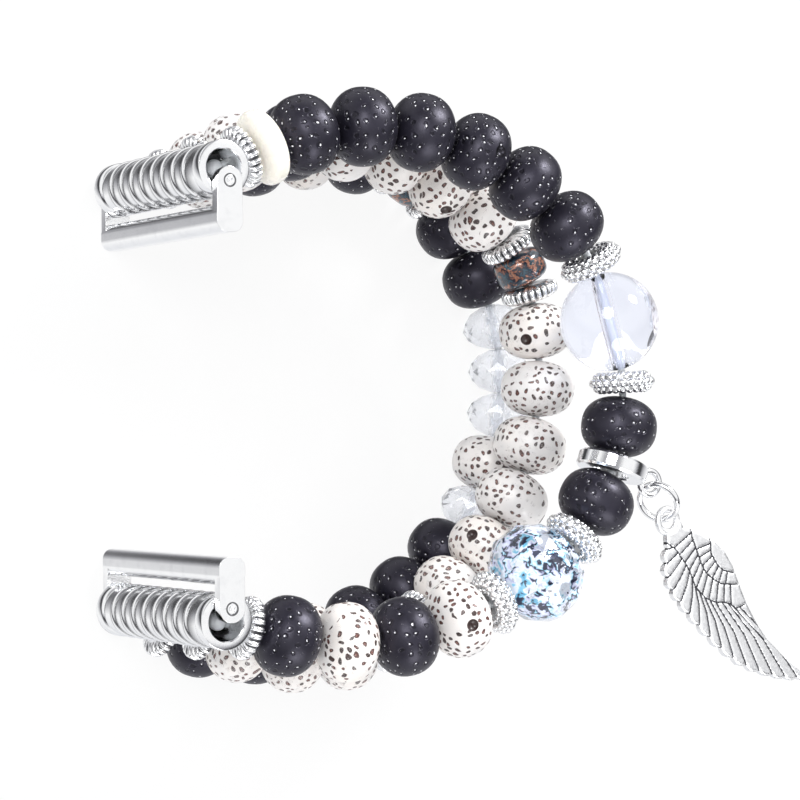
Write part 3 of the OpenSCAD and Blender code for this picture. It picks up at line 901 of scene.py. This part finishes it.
def dress_beads(context, groups, material, smooth=True, angle=50):
    """Makes one piece for each named group of beads: {node: (strand, bead numbers)}."""
    sizes = context.scene.band_sizes
    lines = strands(sizes)
    for node, (line, numbers) in groups.items():
        bm = new_mesh()
        for i in numbers:
            # Each seed has a number of its own, which moves the pattern on its skin
            add_bead(bm, sizes, lines[line], i, i + 30 * list(lines).index(line))
        obj = finish_mesh(bm, node + "_bead", material, smooth, angle)
        stand_for(obj, node)


# Operators


class BAND_OT_black_seeds(bpy.types.Operator):
    """Adds the dyed seed beads"""

    bl_idname = "band.black_seeds"
    bl_label = "Black Seeds"

    def execute(self, context):
        singles = (2, 3, 4, 5, 6, 7, 11, 13, 18, 20)
        groups = {f"front_black_{k + 1}": ("front", [i]) for k, i in enumerate(singles)}
        groups["middle_upper_black"] = ("middle", [2])
        groups["back_upper_blacks"] = ("back", [2, 4, 8])
        groups["back_far_black"] = ("back", [9])
        groups["back_lower_blacks"] = ("back", [15, 16, 17, 19, 20])
        dress_beads(context, groups, dyed_seed(context.scene.band_colours))
        return {"FINISHED"}


class BAND_OT_white_seeds(bpy.types.Operator):
    """Adds the pale seed beads"""

    bl_idname = "band.white_seeds"
    bl_label = "White Seeds"

    def execute(self, context):
        groups = {
            "front_white_1": ("front", [17]),
            "front_white_2": ("front", [19]),
            "middle_upper_whites": ("middle", [1, 3, 4, 5, 6]),
            "middle_far_whites": ("middle", [10, 11, 12, 13]),
            "middle_lower_whites": ("middle", [14, 15, 19, 20, 21]),
            "back_upper_whites": ("back", [1, 3]),
            "back_far_white": ("back", [13]),
            "back_lower_white": ("back", [18]),
        }
        dress_beads(context, groups, pale_seed(context.scene.band_colours))
        return {"FINISHED"}


class BAND_OT_shell_disc(bpy.types.Operator):
    """Adds the cream disc"""

    bl_idname = "band.shell_disc"
    bl_label = "Cream Disc"

    def execute(self, context):
        groups = {"cream_disc": ("front", [1])}
        dress_beads(context, groups, cream_shell(context.scene.band_colours))
        return {"FINISHED"}


class BAND_OT_pleated_spacers(bpy.types.Operator):
    """Adds the pleated silver spacers"""

    bl_idname = "band.pleated_spacers"
    bl_label = "Pleated Spacers"

    def execute(self, context):
        groups = {
            "front_top_spacer": ("front", [0]),
            "front_bottom_spacer": ("front", [21]),
            "middle_upper_spacer": ("middle", [0]),
            "middle_far_spacers": ("middle", [7, 9]),
            "middle_lower_spacers": ("middle", [16, 18, 22]),
            "back_upper_spacers": ("back", [0, 5, 7]),
            "back_lower_spacer": ("back", [21]),
        }
        metal = plated("pleated_silver", context.scene.band_colours, depth=0.95, rough=0.2, grain=0.12)
        dress_beads(context, groups, metal)
        return {"FINISHED"}


class BAND_OT_grained_spacers(bpy.types.Operator):
    """Adds the grained silver spacers"""

    bl_idname = "band.grained_spacers"
    bl_label = "Grained Spacers"

    def execute(self, context):
        groups = {f"grain_spacer_{k + 1}": ("front", [i]) for k, i in enumerate((8, 10, 14, 16))}
        metal = plated("grained_silver", context.scene.band_colours, depth=0.95, rough=0.2, grain=0.12)
        dress_beads(context, groups, metal, angle=60)
        return {"FINISHED"}


class BAND_OT_glass_beads(bpy.types.Operator):
    """Adds the clear ball, the clear rondelles, the blue bead and the dark drums"""

    bl_idname = "band.glass_beads"
    bl_label = "Glass Beads"

    def execute(self, context):
        ball = clear_crystal("clear_ball", tint=(0.85, 0.875, 0.975), milk=0.0)
        dress_beads(context, {"crystal_ball": ("front", [9])}, ball)
        cut_glass = clear_crystal("clear_rondelle", tint=(0.93, 0.945, 0.985), milk=0.22)
        rondelles = {"back_far_crystals": ("back", [10, 11, 12, 14])}
        dress_beads(context, rondelles, cut_glass, smooth=False)
        blue = blue_foil(context.scene.band_colours)
        dress_beads(context, {"blue_glass": ("front", [15])}, blue, smooth=False)
        drums = {
            "middle_far_drum": ("middle", [8]),
            "middle_lower_drum": ("middle", [17]),
            "back_upper_drum": ("back", [6]),
        }
        dress_beads(context, drums, dark_foil())
        return {"FINISHED"}


def sleeve_profile(sizes):
    """Closed profile of a sleeve about its own middle: plain end rings, thin ribs and the bore."""
    radius, half, rise = sizes.sleeve / 2, sizes.sleeve_length / 2, sizes.rib_rise
    low, ring, bore = radius - rise, half - sizes.sleeve_ring, sizes.sleeve_bore / 2
    pitch = 2 * ring / (sizes.ribs + 1)
    soft = 0.18 * MM
    outside = [(radius - soft, -half), (radius - soft * 0.3, -half + soft * 0.3), (radius, -half + soft)]
    outside += [(radius, -ring - 0.1 * MM), (radius - rise * 0.3, -ring + 0.05 * MM), (low, -ring + rise)]
    for i in range(1, sizes.ribs + 1):
        middle = pitch * i - ring
        before = middle - pitch / 2 if i > 1 else (middle - sizes.rib_width / 2 - ring + rise) / 2
        outside.append((low + 0.05 * MM if i > 1 else low, before))
        for k in range(9):
            t = k / 8
            outside.append((low + rise * math.sin(math.pi * t) ** 0.8, middle + sizes.rib_width * (t - 0.5)))
    outside += [(low, ring - rise), (radius - rise * 0.3, ring - 0.05 * MM), (radius, ring + 0.1 * MM)]
    outside += [(radius, half - soft), (radius - soft * 0.3, half - soft * 0.3), (radius - soft, half)]
    mouth = 0.12 * MM
    inside = [(bore + mouth, half), (bore, half - mouth), (bore, -half + mouth), (bore + mouth, -half)]
    return outside + inside


class BAND_OT_sleeves(bpy.types.Operator):
    """Adds the two ribbed sleeves that hold the cords"""

    bl_idname = "band.sleeves"
    bl_label = "Ribbed Sleeves"

    def execute(self, context):
        sizes = context.scene.band_sizes
        metal = plated("bright_silver", context.scene.band_colours, depth=0.6, rough=0.12, grain=0.2)
        lines = strands(sizes)
        low = (sizes.sleeve / 2 - sizes.rib_rise) / MM
        inner = (sizes.sleeve_length / 2 - sizes.sleeve_ring) / MM
        pitch, width = 2 * inner / (sizes.ribs + 1), sizes.rib_width / MM

        def deep(p):
            """How deep a point lies beside a rib, with nothing in the bore and on the plain end rings."""
            if Vector((p.x, p.y)).length < low - 0.3 or abs(p.z) > inner:
                return 0.0
            off = abs((p.z + inner) / pitch - round((p.z + inner) / pitch)) * pitch
            return 0.9 * ease(1.0 - abs(off - width * 0.55) / (width * 0.3))

        for node, side in (("upper_sleeve", 1), ("lower_sleeve", -1)):
            bm = new_mesh()
            verts = spin(bm, sleeve_profile(sizes), 72)
            # Painted shade beside each rib, by the depth below
            note(bm, verts, recess=deep)
            put(bm, verts, Matrix.Translation((0, side * SLEEVE_Y * MM, 0)))
            obj = finish_mesh(bm, node + "_tube", metal, True, 35)
            drills = []
            for line in lines.values():
                ends = (0, line.radius) if side > 0 else (line.run[-1], line.run[-1] - line.radius)
                a, b = line.at(ends[0]), line.at(ends[1])
                radius = DRILL_D / 2 * MM
                drill = bmesh.new()
                bmesh.ops.create_cone(
                    drill, cap_ends=True, segments=24, radius1=radius, radius2=radius, depth=sizes.sleeve,
                    matrix=lie_along(a + (b - a).normalized() * sizes.sleeve / 2, b - a),
                )
                drills.append(finish_mesh(drill, "drill", metal))
            hollow_out(obj, drills)
            stand_for(obj, node)
        return {"FINISHED"}


def softened(node, name, material, width):
    """A merged copy of a node of the frame with its edges rounded."""
    bm = bmesh.new()
    bm.from_mesh(frame["nodes"][node].data)
    bmesh.ops.remove_doubles(bm, verts=bm.verts, dist=1e-6)
    bmesh.ops.dissolve_limit(
        bm, angle_limit=math.radians(2), use_dissolve_boundaries=False, verts=bm.verts, edges=bm.edges,
        delimit={"NORMAL"},
    )
    bm.verts.layers.float.new("recess")
    sharp = [e for e in bm.edges if e.is_manifold and e.calc_face_angle(0) > math.radians(35)]
    bmesh.ops.bevel(
        bm, geom=sharp, offset=width, offset_type="OFFSET", segments=3, profile=0.5, affect="EDGES",
        material=-1, clamp_overlap=True,
    )
    obj = finish_mesh(bm, name, material, True, 60)
    even = obj.modifiers.new("even", "WEIGHTED_NORMAL")
    even.mode, even.weight, even.keep_sharp = "FACE_AREA", 100, True
    return obj


class BAND_OT_adapters(bpy.types.Operator):
    """Adds the slot inserts with their ears, and the pins"""

    bl_idname = "band.adapters"
    bl_label = "Slot Adapters"

    def execute(self, context):
        # Painted shade: a dark ring round the end of each pin
        seams = [(0.0, PIN_Y, PIN_SEAM), (0.0, -PIN_Y, PIN_SEAM)]
        metal = plated(
            "adapter_silver", context.scene.band_colours, depth=0.9, rough=0.12, grain=0.25, seams=seams
        )
        for side in ("upper", "lower"):
            for piece, width in (("lug", 0.16 * MM), ("pin", 0.06 * MM)):
                node = f"{side}_{piece}"
                stand_for(softened(node, node + "_metal", metal, width), node)
        return {"FINISHED"}


def sweep(bm, stations, sides):
    """Sweeps a round section through (point, radius) stations and closes both ends."""
    points = [p for p, _ in stations]
    ring, last = None, None
    rings = []
    for k, (p, r) in enumerate(stations):
        way = (points[min(k + 1, len(points) - 1)] - points[max(k - 1, 0)]).normalized()
        if ring is None:
            verts = bmesh.ops.create_circle(bm, cap_ends=False, segments=sides, radius=1.0)["verts"]
            ring = list({e for v in verts for e in v.link_edges})
            last = Matrix.Identity(4)
        else:
            made = bmesh.ops.extrude_edge_only(bm, edges=ring)["geom"]
            verts = [g for g in made if isinstance(g, bmesh.types.BMVert)]
            ring = [g for g in made if isinstance(g, bmesh.types.BMEdge)]
        seat = lie_along(p, way) @ Matrix.Diagonal((r, r, 1, 1))
        put(bm, verts, seat @ last.inverted())
        last = seat
        rings.append(verts)
    for end in (rings[0], rings[-1]):
        rim = list({e for v in end for e in v.link_edges if all(u in end for u in e.verts)})
        bmesh.ops.contextual_create(bm, geom=rim)
    bmesh.ops.recalc_face_normals(bm, faces=bm.faces)


class BAND_OT_cords(bpy.types.Operator):
    """Adds the elastic cords with their knots, each in an upper and a lower length"""

    bl_idname = "band.cords"
    bl_label = "Elastic Cords"

    def execute(self, context):
        sizes = context.scene.band_sizes
        material = elastic(context.scene.band_colours)
        # The bead gaps at which each cord bends, and the one at which it is split
        folds = {"front": (7, 15, 10), "middle": (7, 14, 10), "back": (9, 15, 12)}
        for name, line in strands(sizes).items():
            knot = sizes.knot / 2
            first = sizes.sleeve_bore / 2 - knot - KNOT_GAP * MM
            upper_fold, lower_fold, split = folds[name]
            stops = [first] + [line.gap(i) for i in range(len(line.beads) + 1)] + [line.run[-1] - first]
            halves = {
                "upper": (stops[: split + 2], upper_fold, ("upper_band", "far_band")),
                "lower": (stops[split + 1 :], lower_fold, ("far_band", "lower_band")),
            }
            for half, (marks, fold, bodies) in halves.items():
                radius = sizes.cord / 2
                stations = []
                for a, b in zip(marks, marks[1:]):
                    stations += [(line.at(a).lerp(line.at(b), k / 6), radius) for k in range(6)]
                stations.append((line.at(marks[-1]), radius))
                bm = new_mesh()
                sweep(bm, stations, 16)
                knot_at = line.at(first if half == "upper" else line.run[-1] - first)
                bmesh.ops.create_uvsphere(
                    bm, u_segments=20, v_segments=12, radius=knot, matrix=Matrix.Translation(knot_at)
                )
                note(bm, bm.verts)
                obj = finish_mesh(bm, f"{name}_cord_{half}", material, True, 60)
                bend = line.gap(fold)
                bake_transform(obj, *bodies, start=line.at(bend - 2 * MM), end=line.at(bend + 2 * MM))
                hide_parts(f"{name}_cord")
        return {"FINISHED"}


def charm_places(sizes):
    """The bail's seat, and the middles of its eyelet, of the jump ring and of the wing's eye."""
    line = strands(sizes)["front"]
    seat = line.seat(12)
    middle = seat.to_translation()
    way = line.at(line.start(12) + line.lengths[12]) - line.at(line.start(12))
    out = Vector((-way.y, way.x, 0)).normalized()
    eyelet = middle + out * (BAIL_D / 2 + EYELET_D / 2 - EYELET_SUNK) * MM
    direction = math.radians(JUMP_DIRECTION)
    hang = Vector((math.cos(direction), math.sin(direction), 0))
    eye = eyelet + hang * 2 * (JUMP_RADIUS + HANG_SLACK) * MM
    return seat, eyelet, (eyelet + eye) / 2, eye


def ring_profile(radius, wire):
    """Round section of a wire, at a radius from the ring's axis."""
    angles = [2 * math.pi * k / 14 for k in range(14)]
    return [(radius + wire / 2 * math.cos(a), wire / 2 * math.sin(a)) for a in angles]


class BAND_OT_bail(bpy.types.Operator):
    """Adds the bail ring with its eyelet, and the jump ring"""

    bl_idname = "band.bail"
    bl_label = "Bail and Jump Ring"

    def execute(self, context):
        metal = plated("charm_ring_silver", context.scene.band_colours, depth=0.5, rough=0.09, grain=0.2)
        seat, eyelet, ring, _ = charm_places(context.scene.band_sizes)
        bm = new_mesh()
        radius, half, hole = BAIL_D / 2 * MM, BAIL_LENGTH / 2 * MM, BAIL_HOLE / 2 * MM
        inner, outer = hole + 0.18 * MM, radius - 0.22 * MM
        band = [
            (hole, -half * 0.8), (inner, -half), (outer, -half), (radius, -half * 0.72),
            (radius, half * 0.72), (outer, half), (inner, half), (hole, half * 0.8),
        ]
        verts = spin(bm, band, 72)
        note(bm, verts)
        put(bm, verts, seat)
        verts = spin(bm, ring_profile((EYELET_D - RING_WIRE) / 2 * MM, RING_WIRE * MM), 40)
        note(bm, verts)
        put(bm, verts, Matrix.Translation(eyelet))
        obj = finish_mesh(bm, "bail_ring", metal, True, 32)
        stand_for(obj, "bail")

        bm = new_mesh()
        row = [bm.verts.new((r, 0, z)) for r, z in ring_profile(JUMP_RADIUS * MM, RING_WIRE * MM)]
        bmesh.ops.spin(
            bm, geom=[bm.faces.new(row)], cent=(0, 0, 0), axis=(0, 0, 1), angle=math.radians(360 - JUMP_SEAM),
            steps=70,
        )
        bmesh.ops.recalc_face_normals(bm, faces=bm.faces)
        note(bm, bm.verts)
        turn = Matrix.Rotation(math.radians(JUMP_DIRECTION), 4, "Z")
        tilt = Matrix.Rotation(math.radians(JUMP_TILT), 4, "X")
        opening = Matrix.Rotation(math.radians(JUMP_OPENING), 4, "Z")
        put(bm, bm.verts, Matrix.Translation(ring) @ turn @ tilt @ opening)
        stand_for(finish_mesh(bm, "jump_ring_wire", metal, True, 50), "jump_ring")
        return {"FINISHED"}


# The wing in millimetres from its eye, as in the part's source apart from the end of its plate by the eye:
# the leading edge to the tip, the feathers' tips on the way back, and the plate's end under the eye's wire
WING_LEADING = (
    (0.71, 1.23), (2.1, 0.9), (3.4, 1.6), (4.6, 2.2), (6.7, 2.8), (9, 3), (11, 2.6), (13.9, 1.4), (16, 0.6),
    (18.3, 0), (21.4, -0.5), (25.3, -0.3), (29.2, 0.2),
)
FEATHER_TIPS = (
    (29.5, -0.5), (28, -1.8), (26.3, -3), (24.4, -4.1), (22.4, -5.1), (20.2, -5.9), (17.9, -6.35),
    (15.6, -6.6), (13.3, -6.7), (11.1, -6.7), (9, -6.65), (7, -6.45), (5.2, -6), (3.6, -5.1),
    (2.3, -3.7), (1.4, -2),
)
WING_ROOT = ((0.71, -1.23), (1.09, -0.92), (1.34, -0.49), (1.42, 0.0), (1.34, 0.49), (1.09, 0.92))
# How far the trailing edge dips between two tips, and the step of the grid that carries the carving
SCALLOP, CARVING = 0.45, 0.13
# Edges of the wing's tiers of feathers
TIERS = (
    ((6.2, 2.7), (7.5, 1.4), (9.4, 1.0), (10.5, 1.2), (11.8, 2.0)),
    (
        (3.1, 1.5), (3.9, 0.9), (5.1, 0.4), (6.4, -0.2), (7.4, -0.6), (8.6, -0.9), (9.9, -0.7), (11.3, -0.3),
        (13.2, 1.3),
    ),
    (
        (1.4, -2.3), (3.1, -1.9), (4.3, -2.1), (5.6, -2.2), (6.9, -2.6), (8.6, -3.3), (9.8, -3.25),
        (10.7, -3.2), (12.3, -2.5), (13.0, -1.8), (14.0, -1.2), (15.1, -1.0), (15.8, 0.2),
    ),
)


def path_point(points, share):
    """The point at a share of a path's length."""
    runs = [0.0]
    for a, b in zip(points, points[1:]):
        runs.append(runs[-1] + math.dist(a, b))
    s = share * runs[-1]
    i = max(0, min(len(points) - 2, sum(1 for v in runs if v < s) - 1))
    t = (s - runs[i]) / (runs[i + 1] - runs[i])
    return tuple(a + (b - a) * t for a, b in zip(points[i], points[i + 1]))


def wing_edge():
    """Outline of the wing with its trailing edge dipping between feather tips, and the dips."""
    outline, dips = list(WING_LEADING) + [FEATHER_TIPS[0]], []
    for tip, following in zip(FEATHER_TIPS, FEATHER_TIPS[1:]):
        a, b = Vector(tip), Vector(following)
        inward = Vector((b.y - a.y, a.x - b.x)).normalized() * SCALLOP
        near, far = (tuple(a + (b - a) * share + inward * 0.25) for share in (0.28, 0.72))
        dips.append(tuple((a + b) / 2 + inward))
        outline += [near, dips[-1], far, following]
    return outline + list(WING_ROOT), dips


def feather_lines(dips):
    """Lines engraved between the wing's feathers, the longest ones from the dips of its trailing edge."""
    lines = [list(tier) for tier in TIERS]
    for k in range(7):
        t = (k + 0.8) / 7.6
        lines.append([path_point(TIERS[1], 0.16 + 0.76 * t), path_point(TIERS[0], t * 0.95)])
    for k in range(11):
        t = (k + 0.5) / 11
        lines.append([path_point(TIERS[2], 0.05 + 0.85 * t), path_point(TIERS[1], t * 0.95)])
    for k, dip in enumerate(reversed(dips)):
        a = path_point(TIERS[2], 0.05 + 0.93 * (k + 0.5) / len(dips))
        bow = 0.05 * math.dist(a, dip)
        lines.append([a, ((a[0] + dip[0]) / 2 + bow * 0.4, (a[1] + dip[1]) / 2 + bow), dip])
    return lines


def gap_to(p, a, b):
    """How far a point is from a straight stretch."""
    dx, dy = b[0] - a[0], b[1] - a[1]
    t = max(0.0, min(1.0, ((p[0] - a[0]) * dx + (p[1] - a[1]) * dy) / (dx * dx + dy * dy)))
    return math.hypot(p[0] - a[0] - t * dx, p[1] - a[1] - t * dy)


def wing_plate(bm):
    """The wing's plate with its feathers carved into both faces, seen from its eye."""
    outline, dips = wing_edge()
    stretches = [(a, b) for line in feather_lines(dips) for a, b in zip(line, line[1:])]
    edge = list(zip(outline, outline[1:] + outline[:1]))
    face = bm.faces.new([bm.verts.new((x * MM, y * MM, 0)) for x, y in outline])
    bmesh.ops.triangulate(bm, faces=[face])
    for axis, low, high in (((1, 0, 0), 0.5, 29.4), ((0, 1, 0), -6.6, 2.95)):
        place = low
        while place < high:
            bmesh.ops.bisect_plane(
                bm, geom=list(bm.verts) + list(bm.edges) + list(bm.faces), dist=1e-7,
                plane_co=Vector(axis) * place * MM, plane_no=axis,
            )
            place += CARVING
    note(bm, bm.verts)
    deep = bm.verts.layers.float["recess"]
    made = bmesh.ops.extrude_face_region(bm, geom=list(bm.faces), use_keep_orig=True)["geom"]
    raised = {g for g in made if isinstance(g, bmesh.types.BMVert)}
    for v in bm.verts:
        p = (v.co.x / MM, v.co.y / MM)
        near = min(gap_to(p, a, b) for a, b in stretches)
        rim = min(gap_to(p, a, b) for a, b in edge)
        groove, valley, round_off = 1 - ease(near / 0.17), 1 - ease(near / 0.5), 1 - ease(rim / 0.3)
        height = (WING_THICKNESS / 2 - 0.12 * groove - 0.03 * valley - 0.14 * round_off) * MM
        v.co.z = height if v in raised else -height
        # Painted shade along the engraved grooves
        v[deep] = ease(1.5 * groove)
    bmesh.ops.recalc_face_normals(bm, faces=bm.faces)


class BAND_OT_wing(bpy.types.Operator):
    """Adds the wing charm with its engraved feathers"""

    bl_idname = "band.wing"
    bl_label = "Wing Charm"

    def execute(self, context):
        metal = plated("wing_silver", context.scene.band_colours, depth=0.98, rough=0.38, grain=0.12)
        eye = charm_places(context.scene.band_sizes)[3]
        bm = new_mesh()
        wing_plate(bm)
        verts = spin(bm, ring_profile(WING_EYE_RADIUS * MM, WING_EYE_WIRE * MM), 36)
        note(bm, verts)
        put(bm, bm.verts, Matrix.Translation(eye) @ Matrix.Rotation(math.radians(WING_DIRECTION), 4, "Z"))
        stand_for(finish_mesh(bm, "wing_feathers", metal, True, 60), "wing_charm")
        return {"FINISHED"}


def pale_floor():
    """White to the camera, in mirrors and through glass, and a pale matt floor to the lamps."""
    f = Finish("pale_floor")
    camera, glossy, through = f.rays()
    grey = f.between(f.noise(f.node("ShaderNodeTexCoord", output="Object"), 3.0), 0.2, 0.8, 0.79, 0.81)
    matt = f.node("ShaderNodeBsdfDiffuse", None, {"Color": grey}, "BSDF")
    glow = f.node("ShaderNodeEmission", None, {"Color": (1, 1, 1), "Strength": 1.0}, "Emission")
    share = f.number("MINIMUM", camera + glossy + through, 1.0) * 0.9
    return f.finished(f.node("ShaderNodeMixShader", None, {0: share, 1: matt, 2: glow}, "Shader"))


def pale_room():
    """White to the camera and through glass, a room with a dark band in mirrors, and even light elsewhere."""
    f = Finish("pale_room", world=True)
    camera, glossy, through = f.rays()
    coords = f.node("ShaderNodeTexCoord", output="Generated")
    way = Vector((-0.3, 0.75, 0.6)).normalized()
    along = f.node("ShaderNodeVectorMath", {"operation": "DOT_PRODUCT"}, {0: coords, 1: way}, "Value")
    greys = (
        (0.22, 1.0), (0.35, 0.45), (0.42, 0.06), (0.50, 0.05), (0.56, 0.5), (0.64, 1.0), (0.86, 1.0),
        (0.92, 0.4),
    )
    bands = [(place, (grey, grey, min(1.0, grey * 1.05))) for place, grey in greys]
    room = f.ramp(along * 0.5 + 0.5, (0.0, (0.8, 0.81, 0.84)), *bands, (1.0, (0.3, 0.3, 0.33)))
    even = f.node("ShaderNodeBackground", None, {"Color": (0.97, 0.98, 1.0), "Strength": 0.62})
    mirror = f.node("ShaderNodeBackground", None, {"Color": room})
    white = f.node("ShaderNodeBackground", None, {"Color": (1, 1, 1)})
    lit = f.node("ShaderNodeMixShader", None, {0: glossy, 1: even, 2: mirror})
    seen = f.number("MAXIMUM", camera, through)
    surface = f.node("ShaderNodeMixShader", None, {0: seen, 1: lit, 2: white})
    return f.finished(surface, "ShaderNodeOutputWorld")


# Name, place in metres, width in metres and power in watts
LAMPS = (
    ("key_lamp", (0.42, 0.52, 0.46), 0.26, 6.2),
    ("side_lamp", (-0.35, 0.2, 0.5), 0.34, 2.4),
    ("low_lamp", (0.05, -0.55, 0.4), 0.4, 2.2),
)
LAMPS_AIM = (0.02, 0, 0)
# The camera's place in millimetres, the way it looks and the way to its right
CAMERA_PLACE = (-124.95, -6.07, 253.25)
CAMERA_FORWARD = (0.52376, 0.01974, -0.85164)
CAMERA_RIGHT = (0.85185, -0.0073, 0.52373)


class BAND_OT_stage(bpy.types.Operator):
    """Adds the floor, the lamps, the pale surroundings and the camera"""

    bl_idname = "band.stage"
    bl_label = "Stage"

    def execute(self, context):
        scene = context.scene
        below = Matrix.Translation((0, 0, cad_box[0][2] - 0.2 * MM))
        bm = bmesh.new()
        bmesh.ops.create_grid(bm, x_segments=8, y_segments=8, size=3.0, matrix=below)
        floor = finish_mesh(bm, "floor", pale_floor(), False)
        floor.visible_glossy = False
        scene.world = pale_room()

        for name, place, width, power in LAMPS:
            light = bpy.data.lights.new(name, "AREA")
            light.shape, light.size, light.energy = "DISK", width, power
            lamp = bpy.data.objects.new(name, light)
            lamp.location = place
            lamp.rotation_euler = (Vector(LAMPS_AIM) - Vector(place)).to_track_quat("-Z", "Y").to_euler()
            scene.collection.objects.link(lamp)

        camera = bpy.data.cameras.new("camera")
        camera.sensor_width, camera.lens = 36, 110.9
        camera.clip_start, camera.clip_end = 0.01, 20
        eye = bpy.data.objects.new("camera", camera)
        forward = Vector(CAMERA_FORWARD).normalized()
        right = Vector(CAMERA_RIGHT)
        right = (right - forward * right.dot(forward)).normalized()
        turn = Matrix((right, right.cross(forward), -forward)).transposed().to_4x4()
        eye.matrix_world = Matrix.Translation(Vector(CAMERA_PLACE) * MM) @ turn
        scene.collection.objects.link(eye)
        scene.camera = eye
        scene.view_settings.view_transform = "Standard"
        return {"FINISHED"}


OPERATORS = (
    BAND_OT_stage, BAND_OT_cords, BAND_OT_black_seeds, BAND_OT_white_seeds, BAND_OT_shell_disc,
    BAND_OT_pleated_spacers, BAND_OT_grained_spacers, BAND_OT_glass_beads, BAND_OT_sleeves,
    BAND_OT_adapters, BAND_OT_bail, BAND_OT_wing,
)


class BAND_PT_panel(bpy.types.Panel):
    """Lists the band's pieces, sizes and colours"""

    bl_idname = "BAND_PT_panel"
    bl_label = "Bead Band"
    bl_space_type = "VIEW_3D"
    bl_region_type = "UI"
    bl_category = "Bead Band"

    def draw(self, context):
        layout = self.layout
        for group in (context.scene.band_sizes, context.scene.band_colours):
            column = layout.box().column()
            for name in group.__annotations__:
                column.prop(group, name)
        column = layout.column(align=True)
        for operator in OPERATORS:
            column.operator(operator.bl_idname)


CLASSES = (BandSizes, BandColours) + OPERATORS + (BAND_PT_panel,)


def register():
    """Adds the classes, and their settings to the scene."""
    for cls in CLASSES:
        bpy.utils.register_class(cls)
    bpy.types.Scene.band_sizes = PointerProperty(type=BandSizes)
    bpy.types.Scene.band_colours = PointerProperty(type=BandColours)


def unregister():
    """Takes the settings and the classes away again."""
    del bpy.types.Scene.band_colours
    del bpy.types.Scene.band_sizes
    for cls in reversed(CLASSES):
        bpy.utils.unregister_class(cls)


def main():
    """Builds the band."""
    register()
    for operator in OPERATORS:
        group, name = operator.bl_idname.split(".")
        getattr(getattr(bpy.ops, group), name)()


if __name__ == "__main__":
    main()
